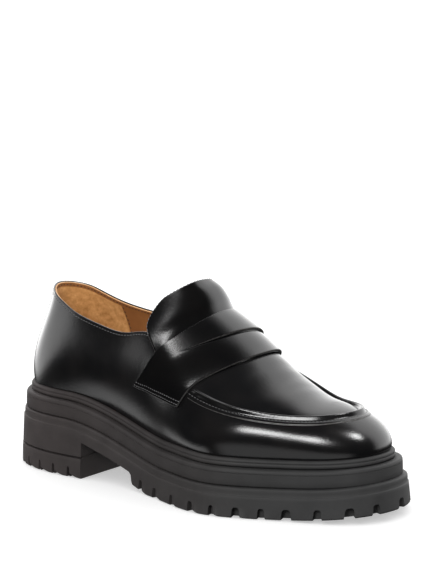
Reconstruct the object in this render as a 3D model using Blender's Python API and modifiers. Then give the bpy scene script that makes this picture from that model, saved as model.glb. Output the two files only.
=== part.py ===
# Block heel loafer, right shoe: lugged sole unit, heel lift, midsole, welt, insole, upper, tongue and strap.
# Toe along +X, inner side of the foot along +Y, +Z up. Sizes are millimetres, scaled to metres in each mesh.
from collections import namedtuple

import bpy
import bmesh
import numpy as np

MM = 0.001
GAP = 0.3                       # clearance between pieces that touch

# Driving sizes of the sole
LENGTH = 275.0                  # outsole, heel to toe
BALL_WIDTH = 102.0              # outsole across the ball
TREAD_HEIGHT = 17.9             # outsole under the ball, lugs included
HEEL_RISE = 17.5                # how much higher the outsole's top is at the heel
RISE_START, RISE_END = 50.0, 135.0   # stretch over which the top comes down from heel to ball
TOE_SPRING = 5.6                # lift of the sole at the tip
SPRING_START = 200.0
MIDSOLE_HEIGHT = 10.8
WELT_HEIGHT = 5.2
LIFT_HEIGHT = 13.5              # tread layer under the heel block
BREAST_X = 66.8                 # front face of the heel
WAIST_TOP = 22.8                # underside of the waist at the breast
WAIST_FRONT_X, WAIST_FRONT_Z = 107.0, 10.7   # where the waist meets the forefoot tread
TREAD_FRONT_X, TREAD_FRONT_Z = 109.0, 4.0    # rear lower corner of the forefoot tread
FLAT_START_X = 123.0            # the forefoot lies flat on the floor from here to the toe spring
INSOLE_PROUD = 1.5              # top of the insole above the welt

# Driving sizes of the upper
WALL = 2.0                      # thickness of leather and lining together
TONGUE_THICKNESS = 2.4
STRAP_THICKNESS = 2.0
THROAT_STATION = 7.0            # the closed apron starts here, under the strap
SEAM_FADE = (7.97, 8.4)         # stations between which the raised seam grows to its full height
STRAP_REACH_BACK = 28.0         # how far the strap's ends reach down below the rim
STRAP_REACH_FRONT = 15.0
TONGUE_FRONT = 6.88
TONGUE_FREE = 6.45               # the tongue leaves the quarters here and stands free
TONGUE_OVERLAP = 5.0            # how far the tongue reaches down over the quarters

# How far each layer's edge lies inside the outsole's outline, at the heel and at the toe
MIDSOLE_INSET = (2.8, 4.8)
WELT_INSET = (6.0, 9.4)
FEATHER_INSET = (8.0, 12.0)     # foot of the upper
NO_INSET = (0.0, 0.0)
WELT_TUCK = 2.6                 # how far the welt reaches in under the wall of the upper
BEYOND = 20.0                   # how far cutters reach past what they cut
SHARP_ANGLE = 0.6               # edges bent more than this, in radians, are shaded sharp

SOLE_COLUMNS = 44               # columns from heel to toe in each sole layer

# Outline of the outsole: share of the length, and half widths as shares of the ball width
Outline = namedtuple("Outline", "x lateral medial")
OUTLINE = [
    Outline(x=0.035, lateral=0.208, medial=0.208),
    Outline(x=0.140, lateral=0.328, medial=0.328),
    Outline(x=0.300, lateral=0.337, medial=0.313),
    Outline(x=0.455, lateral=0.405, medial=0.345),
    Outline(x=0.640, lateral=0.539, medial=0.459),
    Outline(x=0.790, lateral=0.400, medial=0.483),
    Outline(x=0.920, lateral=0.253, medial=0.425),
    Outline(x=0.985, lateral=0.070, medial=0.240),
]

# Side profiles of the sole layers: inset from the layer's outline, and height up from its underside or
# down from its top
Edge = namedtuple("Edge", "inset from_base from_top")
OUTSOLE_EDGE = [
    Edge(inset=0.9, from_base=0.0, from_top=None),
    Edge(inset=0.0, from_base=1.0, from_top=None),
    Edge(inset=1.2, from_base=None, from_top=5.0),
    Edge(inset=1.9, from_base=None, from_top=4.4),
    Edge(inset=2.0, from_base=None, from_top=1.0),
    Edge(inset=3.0, from_base=None, from_top=0.0),
]
LIFT_EDGE = [
    Edge(inset=0.9, from_base=0.0, from_top=None),
    Edge(inset=0.1, from_base=1.0, from_top=None),
    Edge(inset=0.3, from_base=None, from_top=0.8),
    Edge(inset=0.9, from_base=None, from_top=0.0),
]
MIDSOLE_EDGE = [
    Edge(inset=0.8, from_base=0.0, from_top=None),
    Edge(inset=0.0, from_base=1.0, from_top=None),
    Edge(inset=0.3, from_base=None, from_top=1.6),
    Edge(inset=1.6, from_base=None, from_top=0.0),
]
WELT_EDGE = [
    Edge(inset=1.0, from_base=0.0, from_top=None),
    Edge(inset=0.0, from_base=1.2, from_top=None),
    Edge(inset=0.2, from_base=None, from_top=1.2),
    Edge(inset=1.3, from_base=None, from_top=0.0),
]
STRIP_EDGE = [                  # inner side of the welt
    Edge(inset=0.0, from_base=None, from_top=0.0),
    Edge(inset=0.0, from_base=0.0, from_top=None),
]
INSOLE_EDGE = [
    Edge(inset=0.0, from_base=0.0, from_top=None),
    Edge(inset=0.0, from_base=None, from_top=0.6),
    Edge(inset=0.8, from_base=None, from_top=0.0),
]

# Sections of the upper. foot: share of the way from heel to toe along the feather line. The rim is the
# collar's edge behind the throat and the groove of the apron in front of it. Swells push the wall
# outwards near its foot and near its rim. The spine is the crest of the instep and apron.
Section = namedtuple("Section", "foot lateral medial foot_swell rim_swell rim_drop spine")
SECTIONS = [
    Section(0.000, (23.0, 0.0, 113.0), (23.0, 0.0, 113.0), 3.0, 4.5, 22.0, (23.0, 0.0, 113.0)),
    Section(0.055, (31.0, -15.0, 110.5), (31.0, 15.0, 110.5), 3.0, 3.5, 20.0, (31.0, 0.0, 113.0)),
    Section(0.115, (42.0, -20.3, 106.0), (42.0, 20.3, 106.0), 3.5, 3.5, 18.0, (42.0, 0.0, 113.0)),
    Section(0.190, (57.0, -23.6, 100.5), (57.0, 23.6, 100.5), 4.0, 4.0, 16.0, (60.0, 0.0, 113.0)),
    Section(0.255, (77.0, -25.6, 96.4), (77.0, 25.6, 97.0), 5.0, 4.5, 15.0, (85.0, 1.0, 115.0)),
    Section(0.315, (97.0, -26.6, 94.7), (98.0, 28.0, 96.0), 5.5, 5.0, 15.0, (115.0, 3.0, 115.0)),
    Section(0.365, (115.0, -27.5, 96.5), (118.0, 31.0, 98.0), 6.0, 6.0, 15.0, (139.0, 4.0, 110.0)),
    Section(0.425, (135.0, -34.0, 84.0), (141.0, 36.0, 85.0), 7.0, 7.0, 12.0, (159.0, 4.0, 99.5)),
    Section(0.495, (155.0, -37.5, 72.0), (163.0, 38.0, 73.0), 7.0, 8.5, 8.0, (179.0, 4.0, 87.0)),
    Section(0.575, (175.0, -36.0, 65.0), (178.0, 37.5, 70.0), 5.5, 9.5, 5.5, (194.0, 4.5, 75.8)),
    Section(0.655, (192.0, -31.0, 61.0), (193.0, 36.0, 63.0), 4.0, 10.0, 4.0, (205.0, 5.0, 69.6)),
    Section(0.735, (208.0, -23.0, 58.5), (209.0, 32.5, 59.3), 3.0, 10.0, 3.5, (214.0, 6.5, 65.8)),
    Section(0.810, (223.0, -15.0, 58.0), (223.0, 27.5, 58.7), 3.0, 10.0, 3.2, (221.0, 8.0, 64.0)),
    Section(0.890, (235.5, -6.0, 59.0), (235.0, 21.5, 59.3), 3.0, 10.0, 3.0, (225.5, 9.5, 63.3)),
    Section(1.000, (242.5, 9.0, 60.0), (242.5, 9.0, 60.0), 3.0, 10.0, 3.0, (227.0, 10.0, 63.0)),
]
SHARE_STEP = 0.004              # half the span used to find the direction of the feather line
FOOT_RISE_SHARE = 0.40          # height of the wall's lower control point
SPINE_CURVE = 2.0               # exponent of the arch between the two rims

# Raised seam around the apron: distance out from the groove, and height above the wall
Relief = namedtuple("Relief", "distance height")
SEAM = [
    Relief(7.6, 0.0),
    Relief(7.2, 0.9),
    Relief(4.4, 0.9),
    Relief(3.5, 1.5),
    Relief(2.4, 2.0),
    Relief(1.3, 1.5),
    Relief(0.5, 0.2),
    Relief(0.0, -0.5),
]
SINK_FADE = 6                   # how quickly the groove's depth fades into the apron
WALL_SAMPLES = 61               # points measured along each column of the wall
WALL_ROWS = 6
APRON_ROWS = 5
COLUMNS_PER_STATION_REAR = 2
COLUMNS_PER_STATION_FRONT = 3

# Free part of the tongue above the throat: its two edges, its crest and the roundness of the arch between
Flap = namedtuple("Flap", "lateral medial crest roundness")
TONGUE_FLAP = [
    Flap((120.5, -32.0, 91.5), (123.5, 35.5, 93.0), (142.0, 5.5, 110.8), 2.2),
    Flap((116.0, -30.3, 97.0), (119.5, 33.5, 98.0), (140.2, 5.5, 116.4), 2.3),
    Flap((113.3, -28.0, 102.5), (118.5, 31.0, 102.0), (137.2, 4.5, 121.7), 2.35),
    Flap((113.6, -25.0, 108.0), (120.5, 27.0, 102.5), (132.3, 1.7, 126.5), 2.1),
]
TONGUE_LIFT = 0.6               # clearance over the edge of the quarters
TONGUE_COLUMNS = 25
TONGUE_LAID_ROWS = 4

# Stations of the strap's edges and of its slit, by share of the way across from the outer to the inner end.
# The rear band stands above the front band at the slit.
StrapLine = namedtuple("StrapLine", "across back slit front")
STRAP_LINES = [
    StrapLine(0.00, 6.30, 6.92, 8.08),
    StrapLine(0.12, 6.58, 6.98, 8.03),
    StrapLine(0.22, 6.71, 7.04, 7.99),
    StrapLine(0.36, 6.60, 7.13, 8.01),
    StrapLine(0.50, 6.48, 7.20, 8.02),
    StrapLine(0.75, 6.57, 7.30, 8.02),
    StrapLine(1.00, 6.35, 7.20, 8.08),
]
STRAP_GAP = 0.45                # clearance under the strap, over the facets below it
STRAP_COLUMNS = 33
STRAP_GIRTHS = 16               # girth lines under the strap
STRAP_BAND_ROWS = 5
STRAP_SMOOTHING = 3
STRAP_SETTLE = (0.80, 1.0)      # share of the half width over which the strap comes down beside the tongue
STRAP_OVER_SEAM = 0.6           # lift of the front edge where it crosses the start of the seam
SLIT_WIDTH = 0.05               # in stations
SLIT_RISE = 0.5                 # the front band's share of the rear band's lift at the slit

# Girth lines: rounded at the rims, sampled finely, and trimmed at both ends
GIRTH_STEP = 1.0
GIRTH_SAMPLES = 24
GIRTH_SMOOTHING = 8
GIRTH_MARGIN = 12.0

# Lugs: notches around the tread
LUG_START_X = 117.0
# Distances of the notches from there along the outer side and round the toe
LUG_DISTANCES = (0.0, 14.6, 33.6, 52.0, 67.5, 83.0, 98.5, 113.7, 132.7, 152.0, 168.6, 189.7)
LUG_PITCH = 17.2                # on the inner side
LUG_WIDTHS = (2.4, 4.2)         # narrow and wide notches alternate
LUG_DEPTHS = (8.0, 13.0)
LUG_HEIGHT = 6.2
NOTCH_BELOW, NOTCH_OUTSIDE = 2.0, 4.0   # how far a notch's cutter starts outside the tread
LIFT_NOTCH_PITCH = 14.4
LIFT_NOTCH_COUNT = 9
LIFT_NOTCH_WIDTH, LIFT_NOTCH_DEPTH, LIFT_NOTCH_HEIGHT = 2.0, 6.0, 5.2
LIFT_CHANNEL_WIDTH, LIFT_CHANNEL_LENGTH, LIFT_CHANNEL_HEIGHT = 20.0, 30.0, 4.0


def clear_scene():
    """Remove every object of the starting scene."""
    for item in list(bpy.data.objects):
        bpy.data.objects.remove(item, do_unlink=True)


def new_collection(name):
    """Make a collection in the scene."""
    collection = bpy.data.collections.new(name)
    bpy.context.scene.collection.children.link(collection)
    return collection


def make_material(name, colour, roughness):
    """Principled material with one colour and roughness."""
    material = bpy.data.materials.new(name)
    material.use_nodes = True
    shader = material.node_tree.nodes["Principled BSDF"]
    shader.inputs["Base Color"].default_value = (*colour, 1.0)
    shader.inputs["Roughness"].default_value = roughness
    shader.inputs["Metallic"].default_value = 0.0
    return material


def add_object(name, points, faces, collection, material=None):
    """Make a smooth shaded object from points in millimetres."""
    mesh = bpy.data.meshes.new(name)
    mesh.from_pydata([tuple(p) for p in (np.asarray(points) - ORIGIN) * MM], [], faces)
    mesh.validate()
    mesh.shade_smooth()
    mesh.set_sharp_from_angle(angle=SHARP_ANGLE)
    item = bpy.data.objects.new(name, mesh)
    collection.objects.link(item)
    if material is not None:
        mesh.materials.append(material)
    return item


def smoothstep(value, start, end):
    """0 before start, 1 after end, eased between them."""
    share = np.clip((np.asarray(value, float) - start) / (end - start), 0.0, 1.0)
    return share * share * (3.0 - 2.0 * share)


def travel_along(points):
    """Length along a line of points, from 0 at its first."""
    steps = np.linalg.norm(np.diff(points, axis=0), axis=1)
    return np.concatenate([[0.0], np.cumsum(steps)])


def evenly(line, start, end, count):
    """Points of a line at evenly spaced lengths from start to end."""
    travel = travel_along(line)
    even = np.linspace(start, end, count)
    return np.stack([np.interp(even, travel, line[:, axis]) for axis in range(line.shape[1])], axis=1)


def smoothed(line, passes):
    """A line with its inner points averaged with their neighbours, a number of times over."""
    line = np.array(line, float)
    for _ in range(passes):
        line[1:-1] = 0.5 * line[1:-1] + 0.25 * (line[:-2] + line[2:])
    return line


def closed_spline(knots, values):
    """Periodic cubic spline: knots has one more entry than values, its last is the period."""
    values = np.asarray(values, float)
    knots = np.asarray(knots, float)
    count = len(values)
    span = np.diff(knots)
    matrix = np.zeros((count, count))
    right = np.zeros_like(values)
    for i in range(count):
        before, after = span[i - 1], span[i]
        matrix[i, i - 1] += before
        matrix[i, i] += 2.0 * (before + after)
        matrix[i, (i + 1) % count] += after
        slope_after = (values[(i + 1) % count] - values[i]) / after
        right[i] = 6.0 * (slope_after - (values[i] - values[i - 1]) / before)
    bend = np.linalg.solve(matrix, right)

    def at(position):
        position = np.mod(np.asarray(position, float), knots[-1])
        i = np.clip(np.searchsorted(knots, position, side="right") - 1, 0, count - 1)
        j = (i + 1) % count
        step = span[i][:, None]
        b = (position - knots[i])[:, None] / step
        a = 1.0 - b
        curve = ((a ** 3 - a) * bend[i] + (b ** 3 - b) * bend[j]) * step ** 2 / 6.0
        return a * values[i] + b * values[j] + curve

    return at


def sole_outline(samples=900):
    """Dense outline of the outsole from the heel back along the outer side, with its inward normals."""
    lateral = [(row.x * LENGTH, -row.lateral * BALL_WIDTH) for row in OUTLINE]
    medial = [(row.x * LENGTH, row.medial * BALL_WIDTH) for row in reversed(OUTLINE)]
    points = np.array([(0.0, 0.0)] + lateral + medial)
    chords = np.hypot(*(np.roll(points, -1, axis=0) - points).T)
    knots = np.concatenate([[0.0], np.cumsum(chords)])
    ring = closed_spline(knots, points)(np.linspace(0.0, knots[-1], samples, endpoint=False))
    along = np.roll(ring, -1, axis=0) - np.roll(ring, 1, axis=0)
    along /= np.hypot(along[:, 0], along[:, 1])[:, None]
    inward = np.stack([-along[:, 1], along[:, 0]], axis=1)
    return ring, inward


def inset_ring(inset):
    """Outline moved inwards by a pair of distances, for heel and toe."""
    heel, toe = inset
    amount = heel + (toe - heel) * RING[:, 0] / LENGTH
    return RING + INWARD * amount[:, None]


def split_halves(ring):
    """Outer and inner halves of an outline, both from heel back to toe tip."""
    heel = int(np.argmin(ring[:, 0]))
    turned = np.roll(ring, -heel, axis=0)
    toe = int(np.argmax(turned[:, 0]))
    lateral = turned[:toe + 1]
    medial = np.vstack([turned[toe:], turned[:1]])[::-1]
    return lateral, medial


def paired_outline(inset, count=SOLE_COLUMNS):
    """Outline with outer and inner points at the same lengths, so that a cap can span straight across."""
    lateral, medial = split_halves(inset_ring(inset))
    share = 0.5 - 0.5 * np.cos(np.linspace(0.0, np.pi, count + 1))
    x = lateral[0, 0] + share * (lateral[-1, 0] - lateral[0, 0])
    outer = np.stack([x, np.interp(x, lateral[:, 0], lateral[:, 1])], axis=1)
    inner = np.stack([x, np.interp(x, medial[:, 0], medial[:, 1])], axis=1)
    return np.vstack([outer, inner[-2:0:-1]])


def floor_height(x):
    """Underside of the tread: flat, with the spring at the toe."""
    return TOE_SPRING * np.clip((x - SPRING_START) / (LENGTH - SPRING_START), 0.0, None) ** 2


def outsole_top(x):
    """Top of the outsole: high at the heel, coming down to the ball, up again at the toe."""
    return TREAD_HEIGHT + HEEL_RISE * (1.0 - smoothstep(x, RISE_START, RISE_END)) + floor_height(x)


def midsole_top(x):
    return outsole_top(x) + MIDSOLE_HEIGHT


def welt_top(x):
    return midsole_top(x) + WELT_HEIGHT


def deeper(inset, amount):
    """An inset pair moved further inwards."""
    return (inset[0] + amount, inset[1] + amount)


def edge_rings(profile, inset, base, top):
    """Rings of a layer's side: its profile carried round an inset outline, between two height functions."""
    rings = []
    for edge in profile:
        ring = paired_outline(deeper(inset, edge.inset))
        if edge.from_top is None:
            height = base(ring[:, 0]) + edge.from_base
        else:
            height = top(ring[:, 0]) - edge.from_top
        rings.append(np.column_stack([ring, height]))
    return rings


def loft_solid(rings):
    """Points and faces of a closed loft: side bands and a ladder cap below and above."""
    size = len(rings[0])
    half = size // 2
    faces = []
    for level in range(len(rings) - 1):
        low, high = level * size, (level + 1) * size
        for i in range(size):
            j = (i + 1) % size
            faces.append((low + i, low + j, high + j, high + i))
    for start, upward in ((0, False), ((len(rings) - 1) * size, True)):
        for i in range(half):
            corners = [i, i + 1, (size - i - 1) % size, (size - i) % size]
            corners = [start + c for k, c in enumerate(corners) if c not in corners[:k]]
            faces.append(tuple(corners if upward else corners[::-1]))
    return np.vstack(rings), faces


def swept_solid(rings):
    """Points and faces of a closed band whose section runs through the rings and back to the first."""
    size = len(rings[0])
    faces = []
    for level in range(len(rings)):
        low, high = level * size, ((level + 1) % len(rings)) * size
        for i in range(size):
            j = (i + 1) % size
            faces.append((low + i, low + j, high + j, high + i))
    return np.vstack(rings), faces


def face_outwards(item):
    """Turn the faces of a closed mesh outwards."""
    work = bmesh.new()
    work.from_mesh(item.data)
    bmesh.ops.recalc_face_normals(work, faces=work.faces)
    work.to_mesh(item.data)
    work.free()


def add_cutter(name, points, faces):
    """Hidden solid used by a Boolean."""
    cutter = add_object(name, points, faces, CUTTERS)
    face_outwards(cutter)
    cutter.hide_render = True
    cutter.display_type = "WIRE"
    return cutter


def cut(item, cutter):
    """Subtract a cutter."""
    boolean = item.modifiers.new(cutter.name, "BOOLEAN")
    boolean.operation = "DIFFERENCE"
    boolean.solver = "EXACT"
    boolean.object = cutter


def prism(outline, low, high):
    """Points and faces of a prism: an outline of (x, z) pairs carried along y."""
    size = len(outline)
    points = [(x, low, z) for x, z in outline] + [(x, high, z) for x, z in outline]
    faces = [tuple(range(size)), tuple(range(2 * size - 1, size - 1, -1))]
    for i in range(size):
        j = (i + 1) % size
        faces.append((i, i + size, j + size, j))
    return points, faces


def notch(position, inward, floor, width, depth, height):
    """Points and faces of one notch: a slot with a rounded top, running in from the edge of the tread."""
    across = np.array([-inward[1], inward[0], 0.0])
    into = np.array([inward[0], inward[1], 0.0])
    side = height - 0.5 * width
    shoulder = height - 0.12 * width
    section = [(-0.5, -NOTCH_BELOW), (0.5, -NOTCH_BELOW), (0.5, side), (0.3, shoulder), (0.0, height),
               (-0.3, shoulder), (-0.5, side)]
    start = np.array([position[0], position[1], floor]) - NOTCH_OUTSIDE * into
    end = start + (NOTCH_OUTSIDE + depth) * into
    size = len(section)
    points = [base + across * (a * width) + np.array([0.0, 0.0, z])
              for base in (start, end) for a, z in section]
    faces = [tuple(range(size)), tuple(range(2 * size - 1, size - 1, -1))]
    for i in range(size):
        j = (i + 1) % size
        faces.append((i, i + size, j + size, j))
    return points, faces


def notch_row(name, places):
    """One cutter made of many notches that lie apart from each other."""
    points, faces = [], []
    for place in places:
        new_points, new_faces = notch(*place)
        faces += [tuple(i + len(points) for i in face) for face in new_faces]
        points += new_points
    return add_cutter(name, points, faces)


def ring_index(distance):
    """Index of the outline's point at a distance from the heel back along the outer side."""
    travel = travel_along(np.vstack([RING, RING[:1]]))
    return int(np.searchsorted(travel, distance % travel[-1])) % len(RING)


def build_outsole():
    """Sole unit: heel block, breast, waist and lugged forefoot in one moulding."""
    item = add_object("outsole", *loft_solid(edge_rings(OUTSOLE_EDGE, NO_INSET, floor_height, outsole_top)),
                      PARTS, RUBBER)
    lift_top = LIFT_HEIGHT + GAP
    arch = [(-BEYOND, -BEYOND), (-BEYOND, lift_top), (BREAST_X, lift_top), (BREAST_X, WAIST_TOP),
            (WAIST_FRONT_X, WAIST_FRONT_Z), (TREAD_FRONT_X, TREAD_FRONT_Z), (FLAT_START_X, 0.0),
            (FLAT_START_X, -BEYOND)]
    toe = int(np.argmax(RING[:, 0]))
    travel = travel_along(RING)
    first = travel[int(np.argmin(np.abs(RING[:toe, 0] - LUG_START_X)))]
    last = travel[toe + int(np.argmin(np.abs(RING[toe:, 0] - LUG_START_X)))]
    distances = [first + d for d in LUG_DISTANCES]
    around = int(round((last - distances[-1]) / LUG_PITCH))
    distances += list(np.linspace(distances[-1], last, around + 1)[1:])
    places = []
    for k, distance in enumerate(distances):
        i = ring_index(distance)
        wide = k % 2
        floor = float(floor_height(RING[i, 0]))
        places.append((RING[i], INWARD[i], floor, LUG_WIDTHS[wide], LUG_DEPTHS[wide], LUG_HEIGHT))
    cut(item, notch_row("lug_cutter", places))
    cut(item, add_cutter("arch_cutter", *prism(arch, -BALL_WIDTH, BALL_WIDTH)))
    return item


def build_heel_lift():
    """Tread layer under the heel block, with notches round its edge and a channel in its front."""
    rings = edge_rings(LIFT_EDGE, NO_INSET, np.zeros_like, lambda x: np.full_like(x, LIFT_HEIGHT))
    item = add_object("heel_top_lift", *loft_solid(rings), PARTS, RUBBER)
    front = [(BREAST_X, -BEYOND), (BREAST_X, LIFT_HEIGHT + BEYOND), (LENGTH + BEYOND, LIFT_HEIGHT + BEYOND),
             (LENGTH + BEYOND, -BEYOND)]
    cut(item, add_cutter("breast_cutter", *prism(front, -BALL_WIDTH, BALL_WIDTH)))
    channel_back = BREAST_X - LIFT_CHANNEL_LENGTH
    channel = [(channel_back, -BEYOND), (channel_back, LIFT_CHANNEL_HEIGHT),
               (BREAST_X + BEYOND, LIFT_CHANNEL_HEIGHT), (BREAST_X + BEYOND, -BEYOND)]
    half = LIFT_CHANNEL_WIDTH / 2.0
    cut(item, add_cutter("channel_cutter", *prism(channel, -half, half)))
    places = []
    for k in range(LIFT_NOTCH_COUNT):
        i = ring_index((k - (LIFT_NOTCH_COUNT - 1) / 2.0) * LIFT_NOTCH_PITCH)
        places.append((RING[i], INWARD[i], 0.0, LIFT_NOTCH_WIDTH, LIFT_NOTCH_DEPTH, LIFT_NOTCH_HEIGHT))
    cut(item, notch_row("lift_notch_cutter", places))
    return item


def build_midsole():
    """Plate between outsole and welt, with rounded edges."""
    rings = edge_rings(MIDSOLE_EDGE, MIDSOLE_INSET, lambda x: outsole_top(x) + GAP, midsole_top)
    return add_object("midsole", *loft_solid(rings), PARTS, RUBBER)


def build_welt():
    """Strip around the foot of the upper, lying on the midsole."""
    outer = edge_rings(WELT_EDGE, WELT_INSET, lambda x: midsole_top(x) + GAP, welt_top)
    inner = edge_rings(STRIP_EDGE, deeper(FEATHER_INSET, WELT_TUCK), lambda x: midsole_top(x) + GAP, welt_top)
    return add_object("welt", *swept_solid(outer + inner), PARTS, RUBBER)


def build_insole():
    """Board inside the welt, standing a little above it."""
    rings = edge_rings(INSOLE_EDGE, deeper(FEATHER_INSET, WELT_TUCK + GAP), lambda x: midsole_top(x) + GAP,
                       lambda x: welt_top(x) + INSOLE_PROUD)
    return add_object("insole", *loft_solid(rings), PARTS, INSOLE_LEATHER)


def half_at(half, share):
    """Points of a half outline at shares of its run."""
    travel = travel_along(half)
    distance = np.asarray(share) * travel[-1]
    return np.stack([np.interp(distance, travel, half[:, axis]) for axis in (0, 1)], axis=1)


class LastShape:
    """Outer surface of the upper before its seam is raised. Stations run 0 to 2 n around the shoe: heel back,
    outer side, toe tip at n, inner side."""

    def __init__(self):
        shared = [(s.foot_swell, s.rim_swell, s.rim_drop, *s.spine) for s in SECTIONS]
        lateral = [(s.foot, *s.lateral, *rest) for s, rest in zip(SECTIONS, shared)]
        medial = [(2.0 - s.foot, *s.medial, *rest) for s, rest in zip(SECTIONS, shared)]
        rows = np.array(lateral + medial[-2:0:-1])
        self.toe = len(SECTIONS) - 1
        self.period = 2 * self.toe
        self.shape = closed_spline(np.arange(self.period + 1), rows[:, 1:])
        self.foot_share = rows[:, 0]
        ring = inset_ring(FEATHER_INSET)
        self.halves = split_halves(ring)

    def columns(self, stations):
        """Foot, rim, the wall's two control points, and spine of the columns at these stations."""
        stations = np.mod(np.asarray(stations, float), self.period)
        values = self.shape(stations)
        share = np.interp(stations, np.arange(self.period + 1), np.append(self.foot_share, 2.0))
        outer = half_at(self.halves[0], np.minimum(share, 1.0))
        inner = half_at(self.halves[1], np.minimum(2.0 - share, 1.0))
        plan = np.where((share <= 1.0)[:, None], outer, inner)
        outward = self.outward(share)
        foot = np.column_stack([plan, welt_top(plan[:, 0]) + GAP])
        rim = values[:, 0:3]
        foot_swell, rim_swell, rim_drop = values[:, 3:4], values[:, 4:5], values[:, 5]
        rise = FOOT_RISE_SHARE * (rim[:, 2] - foot[:, 2])
        low = foot + outward * foot_swell
        low[:, 2] += rise
        high = rim + outward * rim_swell
        high[:, 2] -= rim_drop
        return foot, low, high, rim, values[:, 6:9]

    def outward(self, share):
        """Level outward directions of the feather line at shares 0 to 2 around it."""
        ahead, behind = np.mod(share + SHARE_STEP, 2.0), np.mod(share - SHARE_STEP, 2.0)

        def place(s):
            outer = half_at(self.halves[0], np.minimum(s, 1.0))
            inner = half_at(self.halves[1], np.minimum(2.0 - s, 1.0))
            return np.where((s <= 1.0)[:, None], outer, inner)

        along = place(ahead) - place(behind)
        along /= np.hypot(along[:, 0], along[:, 1])[:, None]
        return np.column_stack([along[:, 1], -along[:, 0], np.zeros(len(along))])

    def wall(self, stations, distances):
        """Points on the wall at distances below the rim, measured along each column; distances may be
        shares of the whole wall when they are negative: -1 is the foot, 0 the rim."""
        foot, low, high, rim, _ = self.columns(stations)
        t = np.linspace(0.0, 1.0, WALL_SAMPLES)[:, None, None]
        u = 1.0 - t
        curve = u ** 3 * foot + 3.0 * u ** 2 * t * low + 3.0 * u * t ** 2 * high + t ** 3 * rim
        result = np.zeros((len(distances), len(foot), 3))
        for c in range(len(foot)):
            line = curve[::-1, c]
            travel = travel_along(line)
            along = [d if d >= 0.0 else SEAM[0].distance + (-d) * (travel[-1] - SEAM[0].distance)
                     for d in distances]
            for axis in range(3):
                result[:, c, axis] = np.interp(along, travel, line[:, axis])
        return result

    def apron(self, stations, shares):
        """Points between the rim (share 0) and the spine (share 1)."""
        foot, low, high, rim, spine = self.columns(stations)
        stations = np.mod(np.asarray(stations, float), self.period)
        mirrored = self.shape(np.mod(self.period - stations, self.period))[:, 0:3]
        middle = 0.5 * (rim + mirrored)
        s = np.asarray(shares, float)[:, None, None]
        flat = rim + (middle - rim) * s
        return flat + (spine - middle) * (1.0 - (1.0 - s) ** SPINE_CURVE)

    def girth(self, station, wall_reach, count):
        """Evenly spaced points of a girth line from the outer wall over the spine to the inner wall.
        It starts and ends wall_reach below the rims."""
        sides = []
        for place, reach in ((station, wall_reach), (self.period - station, wall_reach)):
            wall = self.wall([place], np.linspace(reach + GIRTH_MARGIN, 0.0, GIRTH_SAMPLES))[:, 0]
            top = self.apron([place], np.linspace(0.0, 1.0, GIRTH_SAMPLES)[1:])[:, 0]
            sides.append(np.vstack([wall, top]))
        line = np.vstack([sides[0], sides[1][-2::-1]])
        length = travel_along(line)[-1]
        line = smoothed(evenly(line, 0.0, length, int(length / GIRTH_STEP)), GIRTH_SMOOTHING)
        return evenly(line, GIRTH_MARGIN, travel_along(line)[-1] - GIRTH_MARGIN, count)


def grid_normals(grid):
    """Unit normals of a grid of points, rows by columns, from its two directions."""
    down = np.gradient(grid, axis=0)
    across = np.gradient(grid, axis=1)
    normal = np.cross(across, down)
    return normal / np.linalg.norm(normal, axis=2, keepdims=True)


def grid_faces(rows, columns):
    """Quads of an open grid."""
    return [(r * columns + c, r * columns + c + 1, (r + 1) * columns + c + 1, (r + 1) * columns + c)
            for r in range(rows - 1) for c in range(columns - 1)]


def solidify(item, thickness, offset):
    """Give a sheet its thickness; offset -1 grows inwards, 1 outwards."""
    shell = item.modifiers.new("wall", "SOLIDIFY")
    shell.thickness = thickness * MM
    shell.offset = offset
    shell.use_even_offset = False
    shell.use_quality_normals = True


def station_list():
    """Stations of the columns along one side, heel back to toe tip, with one at the throat."""
    toe = len(SECTIONS) - 1
    rear = np.linspace(0.0, THROAT_STATION, int(THROAT_STATION * COLUMNS_PER_STATION_REAR) + 1)
    front_count = int((toe - THROAT_STATION) * COLUMNS_PER_STATION_FRONT)
    front = np.linspace(THROAT_STATION, toe, front_count + 1)
    return np.concatenate([rear, front[1:]])


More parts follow.
